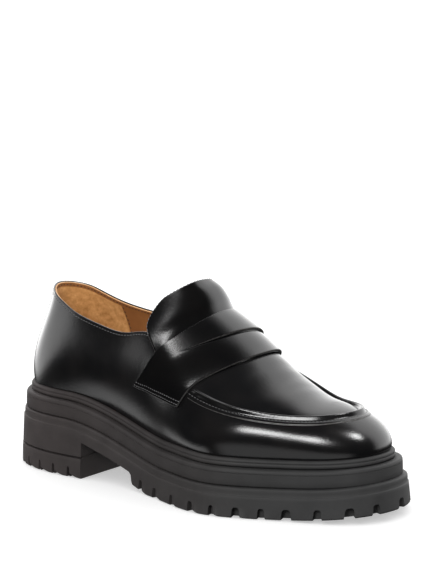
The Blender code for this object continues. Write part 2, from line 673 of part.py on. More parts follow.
def build_upper(last):
    """Quarters, vamp and apron as one wall, open at the collar and underneath."""
    side = station_list()
    ring = np.concatenate([side, last.period - side[-2:0:-1]])
    rows = [-s for s in np.linspace(1.0, 0.0, WALL_ROWS, endpoint=False)] + [row.distance for row in SEAM]
    wall = last.wall(ring, rows)
    around = np.roll(wall, -1, axis=1) - np.roll(wall, 1, axis=1)
    upward = np.gradient(wall, axis=0)
    normal = np.cross(around, upward)
    normal /= np.linalg.norm(normal, axis=2, keepdims=True)
    nearness = np.minimum(ring, last.period - ring)
    strength = smoothstep(nearness, *SEAM_FADE)
    height = np.array([0.0] * WALL_ROWS + [row.height for row in SEAM])
    wall = wall + normal * (height[:, None] * strength[None, :])[:, :, None]
    count = len(ring)
    points = list(wall.reshape(-1, 3))
    faces = []
    for r in range(len(rows) - 1):
        for c in range(count):
            d = (c + 1) % count
            faces.append((r * count + c, r * count + d, (r + 1) * count + d, (r + 1) * count + c))
    throat = int(np.argmin(np.abs(side - THROAT_STATION)))
    toe = len(side) - 1
    front = list(range(throat, count - throat + 1))
    shares = np.linspace(0.0, 1.0, APRON_ROWS + 1)[1:]
    apron = last.apron(ring[front], shares)
    rim_row = (len(rows) - 1) * count
    index = {c: [rim_row + c] for c in front}
    for k, c in enumerate(front):
        sink = wall[-1, c] - last.apron([ring[c]], [0.0])[0, 0]
        for r in range(APRON_ROWS):
            if r == APRON_ROWS - 1 and c > toe:
                index[c].append(index[count - c][-1])
                continue
            points.append(apron[r, k] + sink * (1.0 - shares[r]) ** SINK_FADE)
            index[c].append(len(points) - 1)
    for c in front[:-1]:
        for r in range(APRON_ROWS):
            corners = (index[c][r], index[c + 1][r], index[c + 1][r + 1], index[c][r + 1])
            faces.append(tuple(v for k, v in enumerate(corners) if v not in corners[:k]))
    item = add_object("upper", points, faces, PARTS, BLACK_LEATHER)
    solidify(item, WALL, -1.0)
    return item


def build_tongue(last):
    """Flap sewn over the quarters behind the strap, standing up free above the throat."""
    laid = np.array([last.girth(station, TONGUE_OVERLAP, TONGUE_COLUMNS)
                     for station in np.linspace(TONGUE_FRONT, TONGUE_FREE, TONGUE_LAID_ROWS)])
    laid = laid + grid_normals(laid) * TONGUE_LIFT
    share = np.linspace(0.0, 1.0, TONGUE_COLUMNS)[:, None]
    free = []
    for flap in TONGUE_FLAP:
        lateral, medial, crest = np.array(flap.lateral), np.array(flap.medial), np.array(flap.crest)
        arch = 1.0 - np.abs(2.0 * share - 1.0) ** flap.roundness
        free.append(lateral + (medial - lateral) * share + (crest - 0.5 * (lateral + medial)) * arch)
    grid = np.concatenate([laid, np.array(free)])
    item = add_object("tongue", grid.reshape(-1, 3), grid_faces(*grid.shape[:2]), PARTS, BLACK_LEATHER)
    solidify(item, TONGUE_THICKNESS, 1.0)
    return item


def skewed_rows(lines, stations, wanted):
    """Points of girth lines at stations that change across them: wanted is rows by columns."""
    rows = np.zeros(wanted.shape + (3,))
    for column in range(wanted.shape[1]):
        for axis in range(3):
            rows[:, column, axis] = np.interp(wanted[:, column], stations, lines[:, column, axis])
    return rows


def build_strap(last):
    """Saddle strap over the instep: the rear band lies on the tongue and stands above the front band."""
    first, final = STRAP_LINES[0].back, STRAP_LINES[0].front
    stations = np.linspace(first, final, STRAP_GIRTHS)
    reach = np.linspace(STRAP_REACH_BACK, STRAP_REACH_FRONT, STRAP_GIRTHS)
    lines = np.array([last.girth(s, r, STRAP_COLUMNS) for s, r in zip(stations, reach)])
    across = np.linspace(0.0, 1.0, STRAP_COLUMNS)
    table = np.array(STRAP_LINES)
    edges = [np.interp(across, table[:, 0], table[:, k]) for k in (1, 2, 3)]
    back, slit, front = (smoothed(edge, STRAP_SMOOTHING) for edge in edges)
    share = np.linspace(0.0, 1.0, STRAP_BAND_ROWS)
    front_band = np.array([front + (slit + SLIT_WIDTH - front) * t for t in share])
    rear_band = np.array([slit + (back - slit) * t for t in share])
    base = skewed_rows(lines, stations, np.concatenate([front_band, rear_band]))
    over_tongue = 1.0 - smoothstep(np.abs(2.0 * across - 1.0), *STRAP_SETTLE)
    raised = np.concatenate([SLIT_RISE * smoothstep(share, 0.1, 1.0), np.ones(STRAP_BAND_ROWS)])
    lift = (TONGUE_THICKNESS + TONGUE_LIFT) * raised[:, None] * over_tongue[None, :]
    lift[:STRAP_BAND_ROWS] += STRAP_OVER_SEAM * (1.0 - share[:, None]) ** 2
    grid = base + grid_normals(base) * (STRAP_GAP + lift)[:, :, None]
    item = add_object("strap", grid.reshape(-1, 3), grid_faces(*grid.shape[:2]), PARTS, BLACK_LEATHER)
    solidify(item, STRAP_THICKNESS, 1.0)
    return item


clear_scene()
PARTS = new_collection("block_heel_loafer")
CUTTERS = new_collection("cutters")
RUBBER = make_material("sole_rubber", (0.045, 0.040, 0.038), 0.65)
BLACK_LEATHER = make_material("polished_black_leather", (0.008, 0.008, 0.009), 0.22)
INSOLE_LEATHER = make_material("tan_lining_leather", (0.45, 0.22, 0.08), 0.60)
RING, INWARD = sole_outline()
ORIGIN = np.append(0.5 * (RING.min(axis=0) + RING.max(axis=0)), 0.0)

build_outsole()
build_heel_lift()
build_midsole()
build_welt()
build_insole()
last_shape = LastShape()
build_upper(last_shape)
build_tongue(last_shape)
build_strap(last_shape)
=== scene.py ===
import bpy
import bmesh
import numpy as np
from mathutils import Matrix


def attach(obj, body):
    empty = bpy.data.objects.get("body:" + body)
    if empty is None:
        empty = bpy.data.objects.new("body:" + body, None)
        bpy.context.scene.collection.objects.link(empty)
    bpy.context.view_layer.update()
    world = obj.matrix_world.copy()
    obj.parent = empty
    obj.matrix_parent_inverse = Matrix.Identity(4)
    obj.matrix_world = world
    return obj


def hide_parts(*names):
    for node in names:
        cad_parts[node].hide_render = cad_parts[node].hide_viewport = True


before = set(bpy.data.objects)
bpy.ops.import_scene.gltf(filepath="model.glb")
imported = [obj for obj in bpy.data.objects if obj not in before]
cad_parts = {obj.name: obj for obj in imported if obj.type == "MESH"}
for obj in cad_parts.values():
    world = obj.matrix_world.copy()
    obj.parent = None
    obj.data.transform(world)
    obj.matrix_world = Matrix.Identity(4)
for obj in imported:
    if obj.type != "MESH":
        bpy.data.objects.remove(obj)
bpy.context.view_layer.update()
print("frame loaded")

# Sizes are millimetres from the heel back, with the outer side at -y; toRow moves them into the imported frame.
sole = {
    "length": 275.0, "ballWidth": 102.0, "treadHeight": 17.9, "heelRise": 17.5, "rise": (50.0, 135.0),
    "toeSpring": 5.6, "springStart": 200.0, "midsoleHeight": 10.8, "weltHeight": 5.2, "liftHeight": 13.5,
    "breast": 66.8, "gap": 0.3, "columns": 220,
    # inset of each outline at the heel and at the toe
    "midsoleInset": (2.8, 4.8), "weltInset": (6.0, 9.4), "featherInset": (8.0, 12.0),
    "outline": [  # share of the length, outer and inner half widths as shares of the ball width
        (0.035, 0.208, 0.208), (0.140, 0.328, 0.328), (0.300, 0.337, 0.313), (0.455, 0.405, 0.345),
        (0.640, 0.539, 0.459), (0.790, 0.400, 0.483), (0.920, 0.253, 0.425), (0.985, 0.070, 0.240)],
}


# eased step: 0 before a, 1 after b, cubic in between
def smoothStep(value, a, b):
    t = np.clip((np.asarray(value, float) - a) / (b - a), 0.0, 1.0)
    return t * t * (3.0 - 2.0 * t)


# vectors divided by their own length
def unit(vectors):
    return vectors / np.maximum(np.linalg.norm(vectors, axis=-1, keepdims=True), 1e-9)


# periodic cubic spline: bends at the knots come from one linear system, points from the usual cubic blend
def closedSpline(knots, values):
    values, knots = np.asarray(values, float), np.asarray(knots, float)
    n, span = len(values), np.diff(knots)
    i, before = np.arange(n), np.roll(span, 1)
    matrix = np.zeros((n, n))
    np.add.at(matrix, (i, i - 1), before)
    np.add.at(matrix, (i, i), 2.0 * (before + span))
    np.add.at(matrix, (i, (i + 1) % n), span)
    slope = (np.roll(values, -1, 0) - values) / span[:, None]
    bend = np.linalg.solve(matrix, 6.0 * (slope - np.roll(slope, 1, 0)))

    def at(position):
        position = np.mod(np.asarray(position, float), knots[-1])
        k = np.clip(np.searchsorted(knots, position, side="right") - 1, 0, n - 1)
        j, step = (k + 1) % n, span[k][:, None]
        b = (position - knots[k])[:, None] / step
        a = 1.0 - b
        return a * values[k] + b * values[j] + ((a**3 - a) * bend[k] + (b**3 - b) * bend[j]) * step**2 / 6.0
    return at


# running length along the first axis of a line or of a set of columns
def travelAlong(line):
    step = np.linalg.norm(np.diff(line, axis=0), axis=-1)
    return np.concatenate([np.zeros_like(step[:1]), np.cumsum(step, axis=0)])


# points of a line at wanted lengths, each coordinate linear in the running length
def readLine(want, travel, line):
    return np.stack([np.interp(want, travel, line[:, k]) for k in range(line.shape[1])], axis=1)


# points of one line at evenly spaced lengths
def evenly(line, start, end, count):
    return readLine(np.linspace(start, end, count), travelAlong(line), line)


# points of each column at fractional rows: linear between the two rows around each place
def betweenRows(grid, place):
    k = np.clip(place.astype(int), 0, len(grid) - 2)
    t, column = (place - k)[..., None], np.arange(grid.shape[1])
    return grid[k, column] * (1.0 - t) + grid[k + 1, column] * t


# points of each column at wanted lengths from its start
def alongColumns(curve, want):
    travel = travelAlong(curve)
    k = np.clip((travel[None] <= want[:, None]).sum(1) - 1, 0, len(curve) - 2)
    low, high = (np.take_along_axis(travel, row, 0) for row in (k, k + 1))
    return betweenRows(curve, k + (want - low) / (high - low))


# points of a set of lines at shares along their second axis
def acrossLines(lines, shares):
    place = shares[:, None] * (lines.shape[1] - 1) * np.ones(len(lines))
    return betweenRows(lines.transpose(1, 0, 2), place).transpose(1, 0, 2)


# bilinear reading of a grid at pairs of fractional rows and columns
def readGrid(grid, row, column):
    r, c = np.clip(row, 0, grid.shape[0] - 1.001), np.clip(column, 0, grid.shape[1] - 1.001)
    i, j = r.astype(int), c.astype(int)
    a, b = (r - i)[:, None], (c - j)[:, None]
    left, right = (grid[i, k] * (1 - a) + grid[i + 1, k] * a for k in (j, j + 1))
    return left * (1 - b) + right * b


# repeated average of each inner point with its two neighbours along the first axis
def smoothed(line, passes):
    line = np.array(line, float)
    for _ in range(passes):
        line[1:-1] = 0.5 * line[1:-1] + 0.25 * (line[:-2] + line[2:])
    return line


# steps from each place of a row to the nearer end of it
def stepsToEnd(count):
    return np.minimum(np.arange(count), np.arange(count)[::-1])


# unit normals of a grid: cross product of its two directions
def gridNormals(grid):
    return unit(np.cross(np.gradient(grid, axis=1), np.gradient(grid, axis=0)))


# the same, turned to the upper side
def upNormals(grid):
    normal = gridNormals(grid)
    return normal * np.sign(normal[..., 2:3])


# quads of a grid of rows by columns, wrapped round if closed
def gridQuads(rows, columns, closed=False, start=0):
    r, c = np.meshgrid(np.arange(rows - 1), np.arange(columns if closed else columns - 1), indexing="ij")
    here, beside = r * columns + c, r * columns + (c + 1) % columns
    return start + np.stack([here, beside, beside + columns, here + columns], -1).reshape(-1, 4)


# outline of the sole: spline through the table's points by chord length, with inward normals
def soleOutline(samples=4000):
    table = np.array(sole["outline"]) * (sole["length"], sole["ballWidth"], sole["ballWidth"])
    points = np.vstack([[(0.0, 0.0)], table[:, :2] * (1, -1), table[::-1][:, [0, 2]]])
    chords = np.linalg.norm(np.roll(points, -1, 0) - points, axis=1)
    knots = np.concatenate([[0.0], np.cumsum(chords)])
    line = closedSpline(knots, points)(np.linspace(0.0, knots[-1], samples, endpoint=False))
    along = unit(np.roll(line, -1, 0) - np.roll(line, 1, 0))
    return line, np.stack([-along[:, 1], along[:, 0]], axis=1)


ring, inward = soleOutline()
ringTravel = travelAlong(np.vstack([ring, ring[:1]]))
origin = np.append(0.5 * (ring.min(0) + ring.max(0)), 0.0)
heelIndex, toeIndex = int(np.argmin(ring[:, 0])), int(np.argmax(ring[:, 0]))


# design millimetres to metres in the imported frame
def toRow(points):
    return (np.asarray(points, float) - origin) * 0.001


# the ground line: flat, then rising with the square of the way to the toe tip
def floorHeight(x):
    share = (x - sole["springStart"]) / (sole["length"] - sole["springStart"])
    return sole["toeSpring"] * np.clip(share, 0, None) ** 2


# tops of the layers: the ground line plus the layers' heights, with an eased rise to the heel
def outsoleTop(x):
    return sole["treadHeight"] + sole["heelRise"] * (1.0 - smoothStep(x, *sole["rise"])) + floorHeight(x)


def midsoleTop(x):
    return outsoleTop(x) + sole["midsoleHeight"]


def weltTop(x):
    return midsoleTop(x) + sole["weltHeight"]


# outline moved inwards by a distance that runs from its heel value to its toe value
def insetRing(inset):
    amount = inset[0] + (inset[1] - inset[0]) * ring[:, 0] / sole["length"]
    return ring + inward * amount[:, None]


# outer and inner halves of an outline, heel back to toe tip
def halves(line):
    turned = np.roll(line, -int(np.argmin(line[:, 0])), axis=0)
    toe = int(np.argmax(turned[:, 0]))
    return turned[:toe + 1], np.vstack([turned[toe:], turned[:1]])[::-1]


# puts points and faces into a mesh object at the origin, riding on the root and standing for a node if one is named
def makePiece(name, points, faces, materials, node=None, faceMaterial=None, weld=0.0, sharp=None):
    mesh = bpy.data.meshes.new(name)
    mesh.from_pydata(toRow(points).tolist(), [], [tuple(dict.fromkeys(f)) for f in np.asarray(faces).tolist()])
    for material in materials:
        mesh.materials.append(material)
    if faceMaterial is not None:
        mesh.polygons.foreach_set("material_index", np.asarray(faceMaterial, np.int32))
    if weld:
        work = bmesh.new()
        work.from_mesh(mesh)
        bmesh.ops.remove_doubles(work, verts=work.verts, dist=weld * 0.001)
        work.to_mesh(mesh)
        work.free()
    mesh.validate()
    mesh.shade_smooth()
    if sharp is not None:
        mesh.set_sharp_from_angle(angle=sharp)
    piece = bpy.data.objects.new(name, mesh)
    bpy.context.scene.collection.objects.link(piece)
    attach(piece, "root")
    if node:
        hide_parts(node)


# materials

# inputs of a node: a socket is linked, any other value is set
def feed(node, inputs):
    for key, value in inputs.items():
        if isinstance(value, bpy.types.NodeSocket):
            node.id_data.links.new(value, node.inputs[key])
        else:
            node.inputs[key].default_value = value


def addNode(tree, kind, inputs={}, **settings):
    node = tree.nodes.new("ShaderNode" + kind)
    for key, value in settings.items():
        setattr(node, key, value)
    feed(node, inputs)
    return node


def newMaterial(name):
    material = bpy.data.materials.new(name)
    material.use_nodes = True
    return material, material.node_tree, material.node_tree.nodes["Principled BSDF"]


def objectPlace(tree):
    return addNode(tree, "TexCoord").outputs["Object"]


# fractal noise of the object's own coordinates, with a size in millimetres
def noiseAt(tree, size, detail, rough=0.55):
    return addNode(tree, "TexNoise", {"Vector": objectPlace(tree), "Scale": 1000.0 / size, "Detail": detail,
                                      "Roughness": rough}).outputs["Fac"]


# colour by a socket's value, linear between the stops
def rampOf(tree, socket, stops):
    node = addNode(tree, "ValToRGB", {"Fac": socket})
    bar = node.color_ramp
    while len(bar.elements) < len(stops):
        bar.elements.new(0.5)
    for element, (position, colour) in zip(bar.elements, stops):
        element.position = position
        element.color = (*colour, 1.0)
    return node.outputs["Color"]


# a socket's value carried from one range to another, straight or eased
def rangeOf(tree, socket, to=(0.0, 1.0), span=(0.0, 1.0), **settings):
    return addNode(tree, "MapRange", {"Value": socket, "From Min": span[0], "From Max": span[1],
                                      "To Min": to[0], "To Max": to[1]}, **settings).outputs["Result"]


# bumps one on the other: height, strength and depth in millimetres
def bumpOf(tree, layers):
    below = {}
    for socket, strength, depth in layers:
        node = addNode(tree, "Bump", {"Height": socket, "Strength": strength, "Distance": depth * 0.001, **below})
        below = {"Normal": node.outputs["Normal"]}
    return below["Normal"]


# clouded material: colour and, over a span, roughness follow one noise, and each bump has a noise of its own
def clouded(name, noise, stops, bumps, rough=None, span=(0.0, 1.0), fixed={}):
    material, tree, shader = newMaterial(name)
    cloud = noiseAt(tree, *noise)
    feed(shader, {"Base Color": rampOf(tree, cloud, stops), **fixed,
                  "Normal": bumpOf(tree, [(noiseAt(tree, *own), strength, depth) for own, strength, depth in bumps])})
    if rough:
        feed(shader, {"Roughness": rangeOf(tree, cloud, rough, span)})
    return material


# the same colour times a ramp along the shoe, over a span of its own x in metres
def tintAlong(material, span, stops):
    tree = material.node_tree
    shader = tree.nodes["Principled BSDF"]
    split = addNode(tree, "SeparateXYZ", {"Vector": objectPlace(tree)})
    tint = rampOf(tree, rangeOf(tree, split.outputs["X"], span=span), stops)
    plain = shader.inputs["Base Color"].links[0].from_socket
    mix = addNode(tree, "Mix", {0: 1.0, 6: tint, 7: plain}, data_type="RGBA", blend_type="MULTIPLY")
    feed(shader, {"Base Color": mix.outputs[2]})


# waxed thread: twisted plies as fine slanting bands
def waxedThread(name, colour):
    material, tree, shader = newMaterial(name)
    wave = addNode(tree, "TexWave", {"Vector": objectPlace(tree), "Scale": 900.0, "Distortion": 1.5})
    ply = wave.outputs["Fac"]
    feed(shader, {"Base Color": rampOf(tree, ply, [(0.0, [0.6 * c for c in colour]), (1.0, colour)]),
                  "Roughness": 0.42, "Normal": bumpOf(tree, [(ply, 0.3, 0.1)])})
    return material


# smooth lining leather: tan with faint clouds and pores
def liningLeather(name, low, high):
    return clouded(name, (11.0, 3.0), [(0.3, low), (0.7, high)], [((0.8, 2.0), 0.14, 0.12)], (0.50, 0.66),
                   fixed={"Specular IOR Level": 0.4})


# near black, a fine grain that breaks up the gloss, soft cloudy change in its polish
leather = clouded("polished leather", (24.0, 2.0),
                  [(0.35, (0.0032, 0.0032, 0.0036)), (0.70, (0.0056, 0.0050, 0.0050))],
                  [((11.0, 2.0, 0.5), 0.08, 0.8), ((1.0, 2.0, 0.6), 0.42, 0.14)], (0.17, 0.22), (0.3, 0.7),
                  {"Specular IOR Level": 0.5, "Coat Weight": 0.10, "Coat Roughness": 0.15})
# cut edges: edge ink paler than the face, with fibres along them; the paler colour is partly the ink and partly a
# painted highlight, the light line that a cut edge's upper corner catches
edgeInkAndHighlight = clouded("edge ink with painted highlight", (1.6, 3.0, 0.6), [(0.3, (0.045, 0.043, 0.042)), (0.7, (0.12, 0.115, 0.11))],
                  [((1.6, 3.0, 0.6), 0.2, 0.1)], (0.32, 0.5))
# matte charcoal in faint patches with a fine sandy surface, browner towards the heel
rubber = clouded("moulded rubber", (14.0, 3.0), [(0.30, (0.86, 0.86, 0.86)), (0.72, (1.10, 1.10, 1.10))],
                 [((0.7, 2.0, 0.6), 0.42, 0.14)], (0.58, 0.72), fixed={"Specular IOR Level": 0.35})
tintAlong(rubber, (-0.12, 0.135), [
    (0.02, (0.062, 0.0525, 0.0515)), (0.13, (0.0455, 0.0385, 0.0375)), (0.353, (0.0425, 0.0378, 0.0372)),
    (0.588, (0.040, 0.0372, 0.0367)), (0.72, (0.0325, 0.0322, 0.0322)), (0.86, (0.0325, 0.0325, 0.0328)),
    (0.98, (0.040, 0.040, 0.0403))])
# brushed nap in light and dark patches, with sheen
suede = clouded("heel suede", (3.6, 4.0, 0.65),
                [(0.28, (0.36, 0.165, 0.050)), (0.50, (0.52, 0.255, 0.085)), (0.74, (0.66, 0.36, 0.135))],
                [((3.6, 4.0, 0.65), 0.25, 0.6), ((0.7, 3.0, 0.7), 0.35, 0.25)],
                fixed={"Roughness": 0.95, "Specular IOR Level": 0.15, "Sheen Weight": 0.35, "Sheen Roughness": 0.5,
                       "Sheen Tint": (1.0, 0.75, 0.5, 1.0)})
lining = liningLeather("lining leather", (0.228, 0.087, 0.024), (0.298, 0.119, 0.034))
liningEdge = liningLeather("lining edge", (0.52, 0.29, 0.135), (0.64, 0.38, 0.19))
# grey threads: lighter than the thread's black, a painted glint that lets the stitches show on the black leather; the
# seams' thread is the darker grey
glintGreyThread = waxedThread("black thread with painted glint", (0.125, 0.125, 0.127))
glintGreySeamThread = waxedThread("seam thread with painted glint", (0.072, 0.072, 0.073))
brownThread = waxedThread("lining thread", (0.05, 0.022, 0.010))
print("materials made")

# sole layers: inset and height of each profile point, from the base, or from the top where the last entry is 1
layers = {
    "midsole": [(0.9, 0.0, 0), (0.3, 0.3, 0), (0.0, 1.0, 0), (0.05, 4.0, 0), (0.15, 3.05, 1), (0.17, 2.75, 1),
                (0.50, 2.62, 1), (0.52, 2.42, 1), (0.22, 2.25, 1), (0.30, 1.6, 1), (0.55, 0.85, 1), (1.0, 0.30, 1),
                (1.6, 0.06, 1), (2.2, 0.0, 1)],
    "welt": [(1.2, 0.0, 0), (0.35, 0.25, 0), (0.05, 0.8, 0), (0.0, 1.5, 0), (0.12, 2.1, 0), (0.42, 2.45, 0),
             (0.45, 2.65, 0), (0.18, 3.0, 0), (0.15, 3.5, 0), (0.35, 4.1, 0), (0.75, 4.55, 0), (1.3, 4.82, 0),
             (1.9, 4.9, 0)],
    "weltInside": [(2.6, 4.9, 0), (2.6, 0.0, 0)],
    "sharp": 0.9,
}


# rings of a layer: the side profile carried round an inset outline, outer and inner points at the same lengths
def layerRings(profile, inset, under, top):
    share = 0.5 - 0.5 * np.cos(np.linspace(0.0, np.pi, sole["columns"] + 1))
    rings = []
    for extra, height, fromTop in profile:
        outer, inner = halves(insetRing((inset[0] + extra, inset[1] + extra)))
        x = outer[0, 0] + share * (outer[-1, 0] - outer[0, 0])
        y = np.concatenate([np.interp(x, *outer.T), np.interp(x, *inner.T)[-2:0:-1]])
        x = np.concatenate([x, x[-2:0:-1]])
        rings.append(np.stack([x, y, top(x) - height if fromTop else under(x) + sole["gap"] + height], axis=1))
    return np.array(rings)


# quads across a closed ring whose two halves face each other
def ladder(size, start, upward):
    i = np.arange(size // 2)
    quads = start + np.stack([i, i + 1, (size - i - 1) % size, (size - i) % size], axis=1)
    return quads if upward else quads[:, ::-1]


# closed rubber body from rings, lowest first, with a ladder of quads over each end
def makeLayer(name, rings, node):
    rows, size = rings.shape[:2]
    faces = np.vstack([gridQuads(rows, size, True), ladder(size, 0, False), ladder(size, (rows - 1) * size, True)])
    makePiece(name, rings.reshape(-1, 3), faces, [rubber], node, sharp=layers["sharp"])


makeLayer("midsolePlate", layerRings(layers["midsole"], sole["midsoleInset"], outsoleTop, midsoleTop), "midsole")
weltRings = layerRings(layers["welt"], sole["weltInset"], midsoleTop, weltTop)
weltInner = layerRings(layers["weltInside"], sole["featherInset"], midsoleTop, weltTop)
strip = np.concatenate([weltRings, weltInner, weltRings[:1]])
makePiece("weltStrip", strip.reshape(-1, 3), gridQuads(*strip.shape[:2], True), [rubber], "welt",
          weld=0.001, sharp=layers["sharp"])
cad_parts["insole"].data.materials.clear()
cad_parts["insole"].data.materials.append(lining)
print("midsole, welt and insole made")

# outsole and heel lift
tread = {
    "start": 117.0, "pitch": 17.2, "height": 6.4, "inner": 16.0, "columns": 260,
    # odd and even notches: half widths at the top and at the floor, and depth
    "halfTop": (1.3, 1.6), "halfBottom": (1.75, 2.2), "depth": (4.5, 6.0),
    # notches grow wider and narrower again over these lengths from the first one; the wear of the lugs dies away
    "wider": 0.55, "widen": (50.0, 130.0), "narrow": (190.0, 260.0), "worn": 1.3, "wornFade": (40.0, 110.0),
    # notch middles from the first one, along the outer side and round the toe
    "distances": (0.0, 14.6, 33.6, 52.0, 67.5, 83.0, 98.5, 113.7, 132.7, 152.0, 168.6, 189.7),
    "underside": [(0.0, 13.8), (66.79, 13.8), (66.81, 22.8), (106.0, 11.1), (107.6, 9.6), (108.6, 5.6),
                  (109.6, 3.9), (123.0, 0.0), (276.0, 0.0)],
    "treadFrom": (107.0, 111.0), "taper": 1.2, "bevel": 0.9, "shelf": 5.0,
    # inset and distance below the top, over the step to the top's edge
    "topStep": [(1.18, 5.05), (1.28, 4.9), (1.75, 4.62), (1.88, 4.4), (1.9, 2.4), (1.98, 1.0), (2.2, 0.45),
                (2.6, 0.12), (3.1, 0.0)],
}
lift = {
    "pitch": 12.4, "count": 13, "height": 6.6, "halfTop": 0.8, "halfBottom": 1.2, "depth": 6.0, "columns": 150,
    "worn": 1.7, "wornLength": 7.5, "inner": 8.0,
    # inset and height up the side, then inset and distance below the top, with the groove under the heel block
    "side": [(0.12, 8.4), (0.2, 10.0)],
    "topGroove": [(0.3, 1.3), (0.45, 1.05), (2.6, 0.95), (2.6, 0.0)],
}
isCut = 0.05  # a column belongs to a notch where its outline is higher than this


# height of a notch's outline at a distance from its middle: a slot that narrows upwards, with rounded top corners
def notchHeight(offset, halfTop, halfBottom, height):
    away = np.abs(offset)
    side = np.clip((halfBottom - away) / (halfBottom - halfTop), 0.0, 1.0)
    crown = 1.0 - 0.16 * np.clip(away / halfTop, 0.0, 1.0) ** 4
    return height * np.minimum(side, crown)


# length round the outline, from the heel back along the outer side, of points at given x on each half
def halfTravel(x):
    size = len(ring)
    outer = np.arange(heelIndex, toeIndex + 1 if toeIndex > heelIndex else toeIndex + 1 + size) % size
    inner = np.arange(toeIndex, heelIndex + size + 1 if toeIndex > heelIndex else heelIndex + 1)[::-1]
    innerTravel = ringTravel[inner % size] + np.where(inner >= size, ringTravel[-1], 0.0)
    return np.interp(x, ring[outer, 0], ringTravel[outer]), np.interp(x, ring[inner % size, 0], innerTravel)


# place and inward direction on the outline at lengths round it
def ringAt(travel):
    travel = np.mod(travel, ringTravel[-1])
    place, toward = (readLine(travel, ringTravel, np.vstack([line, line[:1]])) for line in (ring, inward))
    return place, unit(toward)


# columns of a notched layer: even lengths plus a cluster at each notch, outer side then inner side back
def notchedColumns(notches, endX, count, extraX=()):
    cluster = np.array([-3.0, -2.4, -1.9, -1.5, -1.2, -1.03, -1.0, -0.94, -0.86, -0.78, -0.7, -0.6, -0.4, 0.0])
    cluster = np.concatenate([cluster, -cluster[-2::-1]])
    middle, reach = np.array([(n[0], n[2]) for n in notches]).T
    x = ringAt((middle[:, None] + reach[:, None] * cluster).ravel())[0][:, 0]
    low, high = ring[:, 0].min(), min(endX, ring[:, 0].max())
    turn = np.pi if endX > high else np.pi / 2
    even = low + (high - low) * (1.0 - np.cos(np.linspace(0.0, turn, count + 1))) / (1.0 - np.cos(turn))
    x = np.unique(np.round(np.concatenate([even, x[(x > low) & (x < high)], extraX]), 4))
    outer, inner = halfTravel(x)
    return np.concatenate([outer, inner[-2:0:-1] if endX > high else inner[::-1][:-1]])


# notch height and depth at lengths round the outline, and how far the lug ahead of each notch is rounded off;
# a notch is (middle, half width at the top, at the floor, depth, height, wear, length of the wear)
def notchField(travel, notches):
    height, depth, worn = np.zeros((3, len(travel)))
    for middle, halfTop, halfBottom, deep, tall, wear, wearLength in notches:
        offset = np.mod(travel - middle + 0.5 * ringTravel[-1], ringTravel[-1]) - 0.5 * ringTravel[-1]
        here = notchHeight(offset, halfTop, halfBottom, tall)
        height, depth = np.maximum(height, here), np.where(here > isCut, deep, depth)
        beyond = np.clip((offset - halfBottom) / wearLength, 0.0, 1.0)
        worn = np.maximum(worn, np.where(offset > 0.0, wear * (1.0 - beyond) ** 2, 0.0))
    return height, depth, np.where(height > isCut, 0.0, worn)


# outsole: rings from the underside up; a notch sends the low rings in to its depth and up to its outline,
# then come the tapered side, the step near the top and the rounded top edge
def makeOutsole():
    start, last = (float(side[0]) for side in halfTravel(np.array([tread["start"]])))
    middles = [start + d for d in tread["distances"]]
    around = int(round((last - middles[-1]) / tread["pitch"]))
    middles = np.append(middles, np.linspace(middles[-1], last, around + 1)[1:])
    away = middles - start
    wider = 1.0 + tread["wider"] * smoothStep(away, *tread["widen"]) * (1.0 - smoothStep(away, *tread["narrow"]))
    wear = tread["worn"] * (1.0 - smoothStep(away, *tread["wornFade"]))
    notches = []
    for k, (middle, w) in enumerate(zip(middles, wider)):
        halfTop, halfBottom = w * tread["halfTop"][k % 2], w * tread["halfBottom"][k % 2]
        notches.append((middle, halfTop, halfBottom, tread["depth"][k % 2], tread["height"], wear[k],
                        2.0 * halfBottom))
    under = np.array(tread["underside"])
    travel = notchedColumns(notches, np.inf, tread["columns"], under[1:-1, 0])
    place, toward = ringAt(travel)
    x = place[:, 0]
    floor, top = floorHeight(x), outsoleTop(x)
    base = np.maximum(np.interp(x, *under.T), floor)
    height, depth, worn = notchField(travel, notches)
    height = np.where(x > tread["start"] - 4.0, height, 0.0)
    cutHere = height > isCut
    onTread = smoothStep(x, *tread["treadFrom"])

    def row(inset, z):
        return np.column_stack([place + toward * np.broadcast_to(inset, x.shape)[:, None], z])

    # inset of the side at a height: taper, with a bevel at the floor on the tread
    def surface(z):
        taper = np.clip((z - floor - 1.0) / (top - tread["shelf"] - floor - 1.0), 0.0, 1.0)
        onSide = tread["taper"] * taper + tread["bevel"] * np.clip(1.0 - (z - floor), 0.0, 1.0)
        return np.where(onTread > 0.0, onSide, tread["taper"] * np.clip((z - 1.0) / (top - 6.0), 0.0, 1.0))

    rows = [row(tread["inner"], base)]
    for rise in (0.0, 0.5, np.maximum(height, 1.0)):
        z = base + worn + np.where(cutHere, np.minimum(height, rise), rise)
        rows.append(row(np.where(cutHere, depth, surface(base + rise)), z))
    rows.append(row(surface(z + 0.03), z + 0.03))
    shelf = np.maximum(base + 2.6, np.minimum(base + tread["height"] + 0.8, top - 6.0))
    shelf = np.where(onTread > 0.5, shelf, base + 1.4)
    for share in (0.0, 0.35, 0.7):
        z = shelf + (top - tread["shelf"] - shelf) * share
        rows.append(row(surface(z), z))
    rows += [row(inset, top - down) for inset, down in (*tread["topStep"], (tread["inner"], 0.0))]
    makeLayer("treadUnit", np.array(rows), "outsole")


